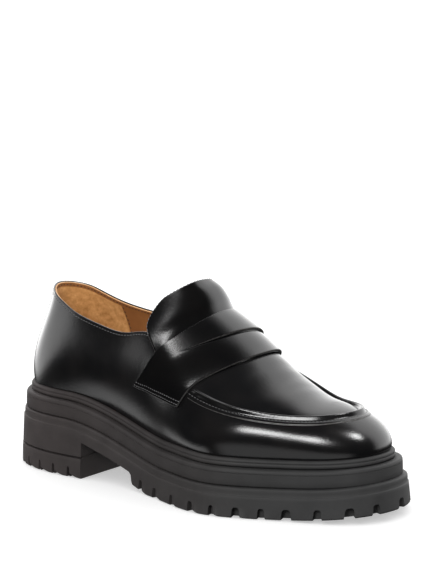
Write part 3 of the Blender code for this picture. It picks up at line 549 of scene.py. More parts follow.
# heel lift: rings as for the outsole, cut off straight at the breast, with a groove under the heel block
def makeLift():
    across = (np.arange(lift["count"]) - (lift["count"] - 1) / 2.0) * lift["pitch"]
    shape = [lift[key] for key in ("halfTop", "halfBottom", "depth", "height", "worn", "wornLength")]
    notches = [(middle, *shape) for middle in across]
    travel = notchedColumns(notches, sole["breast"], lift["columns"])
    place, toward = ringAt(travel)
    height, depth, worn = notchField(travel, notches)
    cutHere = height > isCut
    atBreast = np.abs(place[:, 0] - sole["breast"]) < 1e-3

    def row(inset, z):
        moved = place + toward * np.broadcast_to(inset, travel.shape)[:, None]
        moved[:, 0] = np.where(atBreast, sole["breast"], np.minimum(moved[:, 0], sole["breast"]))
        return np.column_stack([moved, np.broadcast_to(z, travel.shape)])

    rows = [row(lift["inner"], 0.0)]
    for inset, rise in ((0.9, 0.0), (0.35, 0.35), (0.1, np.maximum(height, 1.0))):
        z = worn + np.where(cutHere, np.minimum(height, rise), rise)
        rows.append(row(np.where(cutHere, depth, inset), z))
    rows.append(row(np.where(cutHere, 0.12, 0.1), z + 0.03))
    rows += [row(inset, z) for inset, z in lift["side"]]
    rows += [row(inset, sole["liftHeight"] - down) for inset, down in (*lift["topGroove"], (lift["inner"], 0.0))]
    makeLayer("heelTread", np.array(rows), "heel_top_lift")


makeOutsole()
makeLift()
print("outsole and heel tread made")

# upper
upper = {
    "footRise": 0.40, "throat": 7.0, "seamFade": (7.97, 8.4), "seamWidth": 7.6, "sinkFade": 6, "share": 0.004,
    "rearColumns": 12, "frontColumns": 14, "apronRows": 34,
    # share along the feather line, outer rim, inner rim, swell at the foot, swell and drop at the rim, spine
    "sections": [
        (0.000, (23.0, 0.0, 113.0), (23.0, 0.0, 113.0), 3.0, 4.5, 22.0, (23.0, 0.0, 113.0)),
        (0.055, (31.0, -15.0, 110.5), (31.0, 15.0, 110.5), 3.0, 3.5, 20.0, (31.0, 0.0, 113.0)),
        (0.115, (42.0, -20.3, 106.0), (42.0, 20.3, 106.0), 3.5, 3.5, 18.0, (42.0, 0.0, 113.0)),
        (0.190, (57.0, -23.6, 100.5), (57.0, 23.6, 100.5), 4.0, 4.0, 16.0, (60.0, 0.0, 113.0)),
        (0.255, (77.0, -25.6, 96.4), (77.0, 25.6, 97.0), 5.8, 4.9, 15.0, (85.0, 1.0, 115.0)),
        (0.315, (97.0, -26.6, 94.7), (98.0, 28.0, 96.0), 7.8, 6.2, 15.0, (115.0, 3.0, 115.0)),
        (0.365, (117.5, -28.0, 96.8), (118.0, 31.0, 97.5), 8.8, 7.6, 15.0, (139.0, 4.0, 110.0)),
        (0.425, (135.0, -34.0, 84.0), (141.0, 36.0, 85.0), 7.0, 7.0, 12.0, (159.0, 4.0, 99.5)),
        (0.495, (155.0, -37.5, 72.0), (163.0, 38.0, 74.6), 7.0, 8.5, 9.5, (179.0, 4.0, 87.0)),
        (0.575, (175.0, -36.0, 65.0), (178.0, 37.5, 69.4), 5.0, 9.0, 7.6, (194.0, 4.5, 75.8)),
        (0.655, (192.0, -31.0, 61.0), (193.0, 36.0, 63.9), 4.0, 10.0, 5.2, (205.0, 5.0, 69.6)),
        (0.735, (208.0, -23.0, 58.5), (209.0, 32.5, 59.3), 3.5, 10.6, 3.5, (214.0, 6.5, 65.8)),
        (0.810, (223.0, -15.0, 58.0), (223.0, 27.5, 58.7), 3.6, 10.8, 3.2, (221.0, 8.0, 64.0)),
        (0.890, (235.5, -6.0, 59.0), (235.0, 21.5, 59.3), 3.0, 10.0, 3.0, (225.5, 9.5, 63.3)),
        (1.000, (242.5, 9.0, 60.0), (242.5, 9.0, 60.0), 3.0, 10.0, 3.0, (227.0, 10.0, 63.0))],
    # raised seam: distance out from the groove and height above the wall; the lip's step is a cut edge
    "seam": [(9.0, 0.0), (7.15, 0.0), (6.95, 0.60), (6.5, 0.72), (5.1, 0.68), (4.5, 0.30), (3.9, 0.32), (3.4, 0.65),
             (2.0, 2.05), (1.55, 2.25), (1.1, 2.1), (0.75, 1.5), (0.45, 0.3), (0.0, -0.9)],
    "lip": (6.8, 7.2),
    # flex lines across the vamp: middle x and y, half width, half length, slant, depth
    "creases": [(187.0, 6.0, 3.2, 26.0, 0.10, 0.22), (196.5, 2.0, 2.6, 22.0, -0.06, 0.16),
                (205.0, 10.0, 3.0, 18.0, 0.12, 0.14)],
}
toeStation = len(upper["sections"]) - 1
period = 2 * toeStation
shared = [(*s[3:6], *s[6]) for s in upper["sections"]]
outerRows = [(s[0], *s[1], *rest) for s, rest in zip(upper["sections"], shared)]
innerRows = [(2.0 - s[0], *s[2], *rest) for s, rest in zip(upper["sections"], shared)]
lastTable = np.array(outerRows + innerRows[-2:0:-1])
lastSpline = closedSpline(np.arange(period + 1), lastTable[:, 1:])
featherHalves = halves(insetRing(sole["featherInset"]))
upward = np.array([0.0, 0.0, 1.0])


# point of the feather line at shares 0 to 2 round it
def featherAt(share):
    both = []
    for half, part in zip(featherHalves, (np.minimum(share, 1.0), np.minimum(2.0 - share, 1.0))):
        travel = travelAlong(half)
        both.append(readLine(part * travel[-1], travel, half))
    return np.where((share <= 1.0)[:, None], *both)


# Bezier columns of the wall: foot on the feather line, two control points pushed outwards, and the rim
def wallColumns(stations, samples=81):
    stations = np.mod(np.asarray(stations, float), period)
    values = lastSpline(stations)
    share = np.interp(stations, np.arange(period + 1), np.append(lastTable[:, 0], 2.0))
    ahead, behind = (featherAt(np.mod(share + step, 2.0)) for step in (upper["share"], -upper["share"]))
    along = unit(ahead - behind)
    outward = np.column_stack([along[:, 1], -along[:, 0], np.zeros(len(along))])
    plan = featherAt(share)
    foot, rim = np.column_stack([plan, weltTop(plan[:, 0]) + sole["gap"]]), values[:, 0:3]
    low = foot + outward * values[:, 3:4] + upward * (upper["footRise"] * (rim[:, 2:3] - foot[:, 2:3]))
    high = rim + outward * values[:, 4:5] - upward * values[:, 5:6]
    t = np.linspace(1.0, 0.0, samples)[:, None, None]
    u = 1.0 - t
    return u**3 * foot + 3.0 * u**2 * t * low + 3.0 * u * t**2 * high + t**3 * rim


# wall points by rows: lengths below the rim, then shares of what is left down to the foot
def wallGrid(stations, lengths, shares):
    curve = wallColumns(stations)
    total = travelAlong(curve)[-1]
    want = np.vstack([np.repeat(lengths[:, None], len(total), 1),
                      upper["seamWidth"] + shares[:, None] * (total - upper["seamWidth"])])
    return alongColumns(curve, want)


# apron points between a rim and the spine: straight line to the middle plus a parabolic arch
def apronGrid(stations, shares):
    stations = np.mod(np.asarray(stations, float), period)
    values = lastSpline(stations)
    rim, spine = values[:, 0:3], values[:, 6:9]
    middle = 0.5 * (rim + lastSpline(np.mod(period - stations, period))[:, 0:3])
    s = np.asarray(shares, float)[:, None, None]
    return rim + (middle - rim) * s + (spine - middle) * (1.0 - (1.0 - s) ** 2)


# wall normals of a closed ring of columns, rows running downwards
def ringNormals(wall):
    return unit(np.cross(np.gradient(wall, axis=0), np.roll(wall, -1, axis=1) - np.roll(wall, 1, axis=1)))


throat = upper["throat"]
throatColumn = int(throat * upper["rearColumns"])
toeColumn = throatColumn + int((toeStation - throat) * upper["frontColumns"])
sideStations = np.concatenate([np.linspace(0.0, throat, throatColumn + 1),
                               np.linspace(throat, toeStation, toeColumn - throatColumn + 1)[1:]])
ringStations = np.concatenate([sideStations, period - sideStations[-2:0:-1]])
ringCount = len(ringStations)
nearness = np.minimum(ringStations, period - ringStations)
seamStrength = smoothStep(nearness, *upper["seamFade"])
rimLengths = np.concatenate([np.linspace(0.0, 2.8, 15), np.linspace(3.1, 6.7, 13), np.linspace(6.85, 7.9, 8)])
footShares = np.linspace(0.0, 1.0, 62) ** 0.92
footShares = footShares[footShares > 0.012]


# the same columns on the other half of the ring
def mirrored(columns):
    return (ringCount - columns) % ringCount


# soft flex lines across the vamp: shallow bell-shaped troughs that fade towards both ends
def flexCreases(points):
    amount = np.zeros(points.shape[:-1])
    for x, y, wide, long, slant, deep in upper["creases"]:
        off = points[..., 0] - x - slant * (points[..., 1] - y)
        amount -= deep * np.exp(-(off / wide) ** 2) * np.exp(-((points[..., 1] - y) / long) ** 2)
    return amount


# upper: the wall raised along its normals by the seam's relief, a rolled collar edge and the arched apron
def makeUpper():
    wall = wallGrid(ringStations, rimLengths, footShares)
    normal = ringNormals(wall)
    seam = np.array(upper["seam"])[::-1]
    fine, soft = np.linspace(-1.0, 10.0, 1101), np.hanning(25)
    relief = np.convolve(np.interp(fine, *seam.T), soft / soft.sum(), "same")
    reach = np.concatenate([rimLengths, np.full(len(footShares), 99.0)])
    raised = np.interp(reach, fine, relief, right=0.0)[:, None] * seamStrength
    outer = wall + normal * raised[:, :, None]

    # collar edge: a quarter round over the outer half of the thickness, then down inside
    across = normal[0]
    roll = [outer[0] - across * (0.95 * (1.0 - np.cos(a))) + upward * 0.55 * np.sin(a)
            for a in np.radians([25.0, 50.0, 75.0, 90.0])]
    roll.append(outer[0] - across * 1.05 - upward * 2.0)
    roll = np.where((nearness <= throat)[None, :, None], np.array(roll), outer[0])
    shell = np.concatenate([roll[::-1], outer])
    shellFaces = gridQuads(len(shell), ringCount, True)[:, ::-1]

    # apron: across from the outer groove over the spine to the inner groove
    columns = np.arange(throatColumn, toeColumn + 1)
    stations, shares = sideStations[columns], np.linspace(0.0, 1.0, upper["apronRows"] + 1)
    sides = []
    for side, column in ((stations, columns), (period - stations, mirrored(columns))):
        half = apronGrid(side, shares)
        sides.append(half + (outer[0, column] - half[0]) * ((1.0 - shares) ** upper["sinkFade"])[:, None, None])
    apron = np.concatenate([sides[0], sides[1][-2::-1]])
    edgeFade = smoothStep(stepsToEnd(len(apron)) / upper["apronRows"], 0.02, 0.3)
    apron = apron + upNormals(apron) * (flexCreases(apron) * edgeFade[:, None])[..., None]
    apronFaces = gridQuads(*apron.shape[:2], start=shell.shape[0] * ringCount)

    # the lip's step along the apron seam is a cut edge too; its upper corner takes the edge ink with its painted
    # highlight
    row, column = np.divmod(np.arange(len(shellFaces)), ringCount)
    step = row - len(roll)
    middle = 0.5 * (rimLengths[:-1] + rimLengths[1:])[np.clip(step, 0, len(rimLengths) - 2)]
    onLip = (step >= 0) & (step < len(rimLengths) - 1) & (middle > upper["lip"][0]) & (middle < upper["lip"][1])
    inkAndHighlight = onLip & (seamStrength[column] > 0.15)
    makePiece("upperLeather", np.vstack([shell.reshape(-1, 3), apron.reshape(-1, 3)]),
              np.vstack([shellFaces, apronFaces]), [leather, edgeInkAndHighlight], "upper", weld=0.01,
              faceMaterial=np.append(inkAndHighlight.astype(int), np.zeros(len(apronFaces), int)))
    return wall, normal, outer


wallPoints, wallNormals, outerWall = makeUpper()
print("upper made")

# lining
inside = {
    "offset": 2.0, "edgeBand": 2.6, "rollRadius": 0.45, "rollTall": 0.5,
    # station of the suede's front seam at the rim, its slant in stations per millimetre, and how far down it slants
    "suedeEnd": 2.80, "suedeSlant": 0.023, "slantEnd": 30.0, "seamSpread": 26.0,
    # columns by which the roof laps behind the tongue at the throat, and how far it comes up there
    "throatLap": 3, "lapRise": 2.25, "roofRows": 14,
}
innerWall = wallPoints - wallNormals * inside["offset"]
wallFall = travelAlong(wallPoints[:, int(np.argmin(np.abs(ringStations - 3.0)))])
suedeSeam = inside["suedeEnd"] + inside["suedeSlant"] * np.minimum(wallFall, inside["slantEnd"])
seamColumns = [np.interp(line, ringStations, np.arange(ringCount)) for line in (suedeSeam, period - suedeSeam)]


# lining: inner face of the wall with a rolled top edge, suede behind the two seams at the heel, and the roof
def makeLining():
    # the columns near each suede seam are drawn over to it, so that the seam runs along one column
    meets = [int(round(line[0])) for line in seamColumns]
    place = np.arange(ringCount) + np.zeros((len(innerWall), 1))
    for meet, line in zip(meets, seamColumns):
        near = np.clip(np.abs(np.arange(ringCount) - meet) / inside["seamSpread"], 0.0, 1.0)
        place += (line - meet)[:, None] * 0.5 * (1.0 + np.cos(np.pi * near))
    left, part = np.floor(place).astype(int), np.mod(place, 1.0)[..., None]
    down = np.arange(len(innerWall))[:, None]
    body = innerWall[down, left % ringCount] * (1.0 - part) + innerWall[down, (left + 1) % ringCount] * part
    across, radius = wallNormals[0], inside["rollRadius"]
    centre = wallPoints[0] - across * (inside["offset"] - radius) - upward * 0.40
    roll = [wallPoints[0] - across * 1.1 - upward * 2.0]
    roll += [centre + across * (radius * np.cos(a)) + upward * inside["rollTall"] * np.sin(a)
             for a in np.radians(np.arange(0.0, 151.0, 30.0))]
    roll = np.where((nearness > throat)[None, :, None], body[0], np.array(roll))
    sheet = np.concatenate([roll, body])
    faces = gridQuads(len(sheet), ringCount, True)
    row, column = np.divmod(np.arange(len(faces)), ringCount)
    bandRows = len(roll) + int(np.searchsorted(rimLengths, inside["edgeBand"]))
    which = np.where((row >= bandRows) & ((column < meets[0]) | (column >= meets[1])), 1, 0)
    which = np.where(row < len(roll) + 1, 2, which)

    # roof under the apron; its first column comes up behind the tongue and closes the throat
    columns = np.append(throatColumn - inside["throatLap"], np.arange(throatColumn, toeColumn + 1))
    stations, shares = sideStations[columns], np.linspace(0.0, 1.0, inside["roofRows"])
    roof = np.concatenate([apronGrid(stations, shares), apronGrid(period - stations, shares)[-2::-1]])
    below = np.full(roof.shape[:2], inside["offset"])
    below[:, 0] -= inside["lapRise"] * smoothStep(stepsToEnd(len(roof)) / inside["roofRows"], 0.0, 0.3)
    roof = roof - upNormals(roof) * below[..., None]
    roof[0], roof[-1] = body[0, columns], body[0, mirrored(columns)]
    roofFaces = gridQuads(*roof.shape[:2], start=sheet.shape[0] * ringCount)[:, ::-1]
    makePiece("innerLining", np.vstack([sheet.reshape(-1, 3), roof.reshape(-1, 3)]), np.vstack([faces, roofFaces]),
              [lining, suede, liningEdge], weld=0.01,
              faceMaterial=np.append(which, np.zeros(len(roofFaces), int)))


makeLining()
print("lining made")

# tongue and strap

# girth line over the instep: outer wall, apron and inner wall joined, rounded and trimmed to evenly spaced points
def girthLine(station, reach, count, margin=12.0):
    sides = []
    for place in (station, period - station):
        wall = alongColumns(wallColumns([place]), np.linspace(reach + margin, 0.0, 48)[:, None])[:, 0]
        sides.append(np.vstack([wall, apronGrid([place], np.linspace(0.0, 1.0, 48)[1:])[:, 0]]))
    line = np.vstack([sides[0], sides[1][-2::-1]])
    length = travelAlong(line)[-1]
    line = smoothed(evenly(line, 0.0, length, int(length)), 12)
    return evenly(line, margin, travelAlong(line)[-1] - margin, count)


# cut edge of a leather sheet: distance in from the border and share of the thickness reached there
cutEdge = np.array([(0.0, 0.0), (0.0, 0.40), (0.03, 0.70), (0.12, 0.88), (0.28, 0.975), (0.55, 1.0), (1.0, 1.0),
                    (1.7, 1.0)])


# places along a sheet's side and the thickness there: close steps at each cut edge, even ones between
def edgedPlaces(length, count, last=True):
    end = cutEdge[::-1] if last else cutEdge[-1:] * (0.0, 1.0)
    even = np.linspace(cutEdge[-1, 0], length - end[0, 0], count + 2)[1:-1]
    return (np.concatenate([cutEdge[:, 0], even, length - end[:, 0]]) / length,
            np.concatenate([cutEdge[:, 1], np.ones(count), end[:, 1]]))


# closed sheet from its outer and inner skins, which meet at the border
def sheetFaces(shape):
    quads = gridQuads(*shape[:2])
    return quads, np.vstack([quads, quads[:, ::-1] + shape[0] * shape[1]])


# Catmull-Rom curve through rows of points at shares 0 to 1 of the row index
def throughRows(rows, shares):
    padded = np.concatenate([2 * rows[:1] - rows[1:2], rows, 2 * rows[-1:] - rows[-2:-1]])
    position = np.asarray(shares) * (len(rows) - 1)
    k = np.minimum(position.astype(int), len(rows) - 2)
    t = (position - k)[:, None, None]
    a, b, c, d = (padded[k + step] for step in range(4))
    return 0.5 * (2 * b + (c - a) * t + (2 * a - 5 * b + 4 * c - d) * t**2 + (3 * b - a - 3 * c + d) * t**3)


# faces on the upper corner of a cut edge, which take the edge ink with its painted highlight
def onCorner(edge, quads):
    share = edge.reshape(-1)[quads].mean(1)
    return (share > 0.45) & (share < 0.985)


tongue = {
    "front": 6.92, "girths": (6.2, 7.0, 12), "overlap": 5.0, "lift": 0.6, "thickness": 2.4, "corner": 11.0,
    "columns": 121, "rows": 90, "curveRows": 80, "laidRows": 4,
    # edges and crest of the free flap, and the roundness of the arch between them
    "flap": [((121.6, -32.0, 92.0), (121.5, 35.0, 93.5), (144.6, 3.8, 111.6), 2.35),
             ((117.0, -29.6, 97.2), (117.5, 32.0, 98.5), (143.0, 3.0, 116.6), 2.5),
             ((113.8, -26.0, 103.4), (115.5, 27.8, 103.5), (139.5, 2.2, 121.9), 2.7),
             ((112.0, -22.2, 111.1), (115.5, 22.5, 107.5), (134.0, 1.0, 126.4), 2.9)],
    # share across and station where the flap leaves the instep, just under the strap's back edge
    "leaves": [(0.0, 6.66), (0.25, 6.60), (0.5, 6.45), (0.75, 6.53), (1.0, 6.50)],
}


# tongue: rows laid over the instep, then the free flap, joined by a curve through them;
# leather in front, lining behind
def makeTongue():
    stations = np.linspace(*tongue["girths"])
    coarse = np.array([girthLine(s, tongue["overlap"], tongue["columns"]) for s in stations])
    share = np.linspace(0.0, 1.0, tongue["columns"])
    leaves = smoothed(np.interp(share, *np.transpose(tongue["leaves"])), 40)
    wanted = tongue["front"] + (leaves - tongue["front"]) * np.linspace(0.0, 1.0, tongue["laidRows"])[:, None]
    laid = betweenRows(coarse, (wanted - stations[0]) / (stations[1] - stations[0]))
    free = []
    for outer, inner, crest, roundness in tongue["flap"]:
        outer, inner, crest = np.array((outer, inner, crest))
        arch = 1.0 - np.abs(2.0 * share[:, None] - 1.0) ** roundness
        free.append(outer + (inner - outer) * share[:, None] + (crest - 0.5 * (outer + inner)) * arch)
    control = np.concatenate([laid + gridNormals(laid) * tongue["lift"], np.array(free)])
    along = np.linspace(0.0, 1.0, tongue["curveRows"])
    smooth = throughRows(control, along)
    middle = tongue["columns"] // 2
    rise, wide = travelAlong(smooth[:, middle]), travelAlong(smooth[tongue["curveRows"] // 2])[-1]
    # rounded corners: the last rows are drawn in along a quarter circle
    into = np.clip((rise - rise[-1] + tongue["corner"]) / tongue["corner"], 0.0, 1.0)
    narrow = 1.0 - 2.0 * tongue["corner"] / wide * (1.0 - np.sqrt(1.0 - into**2))
    drawn = 0.5 + (share - 0.5) * narrow[:, None]
    smooth = np.stack([acrossLines(line[None], part)[0] for line, part in zip(smooth, drawn)])
    rowShare, rowEdge = edgedPlaces(rise[-1], tongue["rows"])
    columnShare, columnEdge = edgedPlaces(wide, tongue["columns"])
    rowShare = np.interp(rowShare, travelAlong(smooth[:, middle]) / rise[-1], along)

    def read(grid):
        return acrossLines(acrossLines(grid, columnShare).transpose(1, 0, 2), rowShare).transpose(1, 0, 2)

    back, normal = read(smooth), read(gridNormals(smooth))
    edge = np.minimum(rowEdge[:, None], columnEdge[None])
    front = back + normal * (tongue["thickness"] * edge)[..., None]
    quads, faces = sheetFaces(back.shape)
    behind = np.where((edge < 1.0).reshape(-1)[quads].any(1), 0, 1)
    # the upper corners of the tongue's cut edges take the edge ink with its painted highlight
    makePiece("tongueFlap", np.vstack([front.reshape(-1, 3), back.reshape(-1, 3)]), faces, [leather, lining, edgeInkAndHighlight],
              "tongue", weld=0.005,
              faceMaterial=np.append(np.where(onCorner(edge, quads), 2, 0), behind))
    return front, normal


tongueFront, tongueNormal = makeTongue()
print("tongue made")

strap = {
    "thickness": 1.9, "gap": 0.40, "columns": 170, "girths": 26, "girthPoints": 181, "frontRows": 34, "rearRows": 26,
    "settle": (0.55, 1.0), "easing": 50, "easeIn": (0.05, 0.14),
    # lift of the front edge near the ends and over the apron, and the shares across where it changes over
    "frontLift": (-0.35, 0.75), "liftSides": ((0.20, 0.38), (0.64, 0.82)),
    # how far down the wall the ends come, by station
    "reach": [(6.18, 33.5), (6.30, 33.0), (6.50, 30.8), (6.73, 27.2), (6.92, 25.0), (7.30, 20.4), (7.60, 17.9),
              (7.90, 16.4), (8.08, 15.6)],
    # the slit opens and closes over these shares across; how far the front band lies below the rear one,
    # depth and width of its dip at the lip, and the distances of the rows beside the lip
    "slitOpens": (0.255, 0.46), "slitCloses": (0.66, 0.90), "slitDrop": 1.75, "slitDip": 0.55,
    "dipWidth": 0.45, "nearSlit": (1.5, 0.9, 0.5, 0.25, 0.08),
    # share across, then stations of the back edge, the slit and the front edge
    "lines": [(0.00, 6.18, 6.92, 8.08), (0.12, 6.51, 6.98, 8.03), (0.22, 6.64, 7.04, 7.99), (0.36, 6.50, 7.13, 8.01),
              (0.50, 6.38, 7.20, 8.02), (0.75, 6.50, 7.30, 8.02), (1.00, 6.30, 7.20, 8.08)],
}


# strap: girth lines read at stations that change across it, with cut edges all round;
# at the slit the rear band stands over the front band, which sinks away from it as the slit opens
def makeStrap():
    table = np.array(strap["lines"])
    even = np.linspace(0.0, 1.0, strap["girthPoints"])
    stations = np.linspace(table[0, 1], table[0, 3], strap["girths"])
    reach = smoothed(np.interp(stations, *np.transpose(strap["reach"])), 3)
    coarse = np.array([girthLine(s, r, strap["girthPoints"]) for s, r in zip(stations, reach)])
    across, acrossEdge = edgedPlaces(travelAlong(coarse[strap["girths"] // 2])[-1], strap["columns"])
    lines, normals = acrossLines(coarse, across), acrossLines(-gridNormals(coarse), across)
    back, slit, front = (np.interp(across, even, smoothed(np.interp(even, table[:, 0], edge), 60))
                         for edge in table[:, 1:].T)

    def read(grid, wanted):
        return betweenRows(grid, (wanted - stations[0]) / (stations[1] - stations[0]))

    corner = read(lines, np.array([front, slit, back]))
    frontWide, rearWide = np.linalg.norm(np.diff(corner, axis=0), axis=2).mean(1)
    frontShare, frontEdge = edgedPlaces(frontWide, strap["frontRows"], last=False)
    nearSlit = 1.0 - np.array(strap["nearSlit"]) / frontWide
    frontShare = np.concatenate([frontShare[:-1][frontShare[:-1] < nearSlit[0]], nearSlit, [1.0]])
    frontEdge = np.interp(np.arange(len(frontShare)), np.arange(len(frontEdge)), frontEdge)
    rearShare, rearEdge = edgedPlaces(rearWide, strap["rearRows"])
    rearEdge[:len(cutEdge)] = 1.0
    lipEdge = np.concatenate([cutEdge[:, 1], np.ones(len(rearShare) - len(cutEdge))])

    # one value for each row: that of the front band, then that of the rear band
    def byRow(ofFront, ofRear):
        return np.append(ofFront * np.ones(len(frontShare)), ofRear * np.ones(len(rearShare)))[:, None]

    wanted = np.concatenate([front + (slit - front) * frontShare[:, None], slit + (back - slit) * rearShare[:, None]])
    base, normal = read(lines, wanted), unit(read(normals, wanted))
    settled = smoothStep(np.abs(2.0 * across - 1.0), *strap["settle"])
    overTongue = (tongue["thickness"] + tongue["lift"]) * (1.0 - settled)
    opening = smoothStep(across, *strap["slitOpens"]) * (1.0 - smoothStep(across, *strap["slitCloses"]))
    begins = strap["slitOpens"][0]
    dip = strap["slitDip"] * smoothStep(across, begins, begins + 0.05) * (opening > 0)
    ramp = byRow(smoothStep(frontShare, 0.05, 0.95), 1.0)
    toSlit = byRow((1.0 - frontShare) * frontWide, 0.0)
    drop = strap["slitDrop"] * opening * ramp + dip * np.exp(-(toSlit / strap["dipWidth"]) ** 2)
    nearEnd, overApron = strap["frontLift"]
    rising, falling = (smoothStep(across, *sides) for sides in strap["liftSides"])
    frontLift = byRow((1.0 - frontShare) ** 2, 0.0) * (nearEnd + (overApron - nearEnd) * rising * (1.0 - falling))
    height = strap["gap"] + overTongue * ramp - drop * byRow(1.0, 1.0 - lipEdge) + frontLift
    edge = np.minimum(byRow(frontEdge, rearEdge), acrossEdge[None])
    # stiff leather spans the bend at the edge of the instep in a wider curve than the wall under it
    start, end = strap["easeIn"]
    soft = smoothStep(across, start, end) * (1.0 - smoothStep(across, 1.0 - end, 1.0 - start))
    skins = []
    for up in (height + strap["thickness"] * edge, height):
        skin = base + normal * up[..., None]
        eased = smoothed(skin.transpose(1, 0, 2), strap["easing"]).transpose(1, 0, 2)
        skins.append(skin + (eased - skin) * soft[:, None])
    quads, faces = sheetFaces(base.shape)
    isOpen = opening[quads % len(across)].mean(1) > 0.003
    # the upper corners of the strap's cut edges and of the slit's lip take the edge ink with its painted highlight
    inkAndHighlight = onCorner(edge, quads) | (onCorner(byRow(1.0, lipEdge) * np.ones(len(across)), quads) & isOpen)
    makePiece("saddleStrap", np.reshape(skins, (-1, 3)), faces, [leather, edgeInkAndHighlight], "strap",
              weld=0.005, faceMaterial=np.append(inkAndHighlight.astype(int), np.zeros(len(quads), int)))
    return skins[0], normal


strapOuter, strapNormal = makeStrap()
print("strap made")

# stitches
stitching = {
    "wide": 0.74, "tall": 0.54, "sink": 0.05,
    # pitch and length of a stitch
    "collar": (2.3, 1.75), "apronSeam": (2.2, 1.7), "suedeSeam": (2.6, 1.7), "strapEnds": (1.9, 1.4),
    # distances from the edge: below the rim, out from the groove, along the tongue, along the strap's ends
    "belowRim": 1.6, "fromGroove": 4.5, "tongueInset": 2.4, "strapInsets": (3.4, 5.9),
    # the apron seam's first station, columns left free at the throat, suede seam's columns aside and its depth
    "seamFrom": 8.1, "throatFree": 4, "beside": 0.7, "suedeDepth": 42.0, "tongueFrom": 22.0,
}


# many stitches: a small ellipsoid of rings for each, set along, across and up from the surface
def stitchMesh(centre, along, up, length):
    turn = np.linspace(0.0, 2.0 * np.pi, 6, endpoint=False)
    slope = np.radians([-90, -45, 0, 45, 90])[:, None]
    axes = (np.sin(slope) * length, np.cos(slope) * np.cos(turn) * stitching["wide"],
            np.cos(slope) * np.sin(turn) * stitching["tall"])
    shape = np.stack(np.broadcast_arrays(*axes), -1).reshape(-1, 3) / 2.0
    along = unit(along)
    side = unit(np.cross(up, along))
    points = centre[:, None] + np.einsum("ka,nab->nkb", shape, np.stack([along, side, np.cross(along, side)], 1))
    faces = gridQuads(len(slope), len(turn), True) + (np.arange(len(centre)) * len(shape))[:, None, None]
    return points.reshape(-1, 3), faces.reshape(-1, 4)


# evenly spaced stitches on a surface line with its normals, sunk by a little
def stitchRow(line, normal, size):
    pitch, length = size
    travel = travelAlong(line)
    count = int(travel[-1] / pitch)
    even = (np.arange(count) + 0.5) * travel[-1] / count
    centre, ahead = readLine(even, travel, line), readLine(even + 0.2, travel, line)
    up = readLine(even, travel, normal)
    return stitchMesh(centre - up * stitching["sink"], ahead - centre + 1e-9, up, length)


# rows of stitches joined into one piece, each row's faces counted on from the points before it
def addStitches(name, rows, material):
    starts = np.cumsum([0] + [len(points) for points, _ in rows])
    makePiece(name, np.vstack([points for points, _ in rows]),
              np.vstack([faces + start for (_, faces), start in zip(rows, starts)]), [material])


# index of the entry nearest to a value
def nearest(values, wanted):
    return int(np.argmin(np.abs(values - wanted)))


collarRow, seamRow = nearest(rimLengths, stitching["belowRim"]), nearest(rimLengths, stitching["fromGroove"])
lastColumn = throatColumn - stitching["throatFree"]
heelOrder = np.arange(-lastColumn, lastColumn)
toeOrder = np.arange(*(nearest(ringStations, s) for s in (stitching["seamFrom"], period - stitching["seamFrom"])))
collarNormals = wallNormals[collarRow, heelOrder]
addStitches("outerStitches", [
    stitchRow(wallPoints[collarRow, heelOrder], collarNormals, stitching["collar"]),
    stitchRow(outerWall[seamRow, toeOrder], wallNormals[seamRow, toeOrder], stitching["apronSeam"])],
    glintGreySeamThread)

liningRows = [stitchRow(innerWall[collarRow, heelOrder], -collarNormals, stitching["collar"])]
seamRows = np.flatnonzero((wallFall > inside["edgeBand"]) & (wallFall < stitching["suedeDepth"]))
for line, way in zip(seamColumns, (1.0, -1.0)):
    where = (seamRows.astype(float), line[seamRows] + way * stitching["beside"])
    liningRows.append(stitchRow(readGrid(innerWall, *where), -readGrid(wallNormals, *where), stitching["suedeSeam"]))
addStitches("liningStitches", liningRows, brownThread)


# fractional index along an axis where the running length reaches a distance, from the start or from the end
def indexAt(line, distance, fromEnd=False):
    travel = travelAlong(line)
    return np.interp(travel[-1] - distance if fromEnd else distance, travel, np.arange(len(line)))


# line a set distance inside the tongue's border: up one side, over the top and down the other side
def tongueStitchLine(inset):
    middle = tongueFront[:, tongueFront.shape[1] // 2]
    top = indexAt(middle, inset, True)
    up = np.linspace(indexAt(middle, stitching["tongueFrom"]), top, 90)
    left, right = (np.array([indexAt(tongueFront[int(r)], inset, fromEnd) for r in up]) for fromEnd in (False, True))
    over = np.linspace(left[-1], right[-1], 160)[1:-1]
    row = np.concatenate([up, np.full(len(over), top), up[::-1]])
    column = np.concatenate([left, over, right[::-1]])
    return smoothed(readGrid(tongueFront, row, column), 6), readGrid(tongueNormal, row, column)


# line across the strap at a set distance from one of its ends
def strapEndLine(distance, fromEnd):
    rows = np.arange(3, strapOuter.shape[0] - 3)
    column = np.array([indexAt(strapOuter[r], distance, fromEnd) for r in rows])
    return readGrid(strapOuter, rows.astype(float), column), readGrid(strapNormal, rows.astype(float), column)


addStitches("tongueStitches", [stitchRow(*tongueStitchLine(stitching["tongueInset"]), stitching["collar"])],
            glintGreyThread)
addStitches("strapStitches", [stitchRow(*strapEndLine(distance, fromEnd), stitching["strapEnds"])
                              for distance in stitching["strapInsets"] for fromEnd in (False, True)],
            glintGreyThread)
print("stitches made")

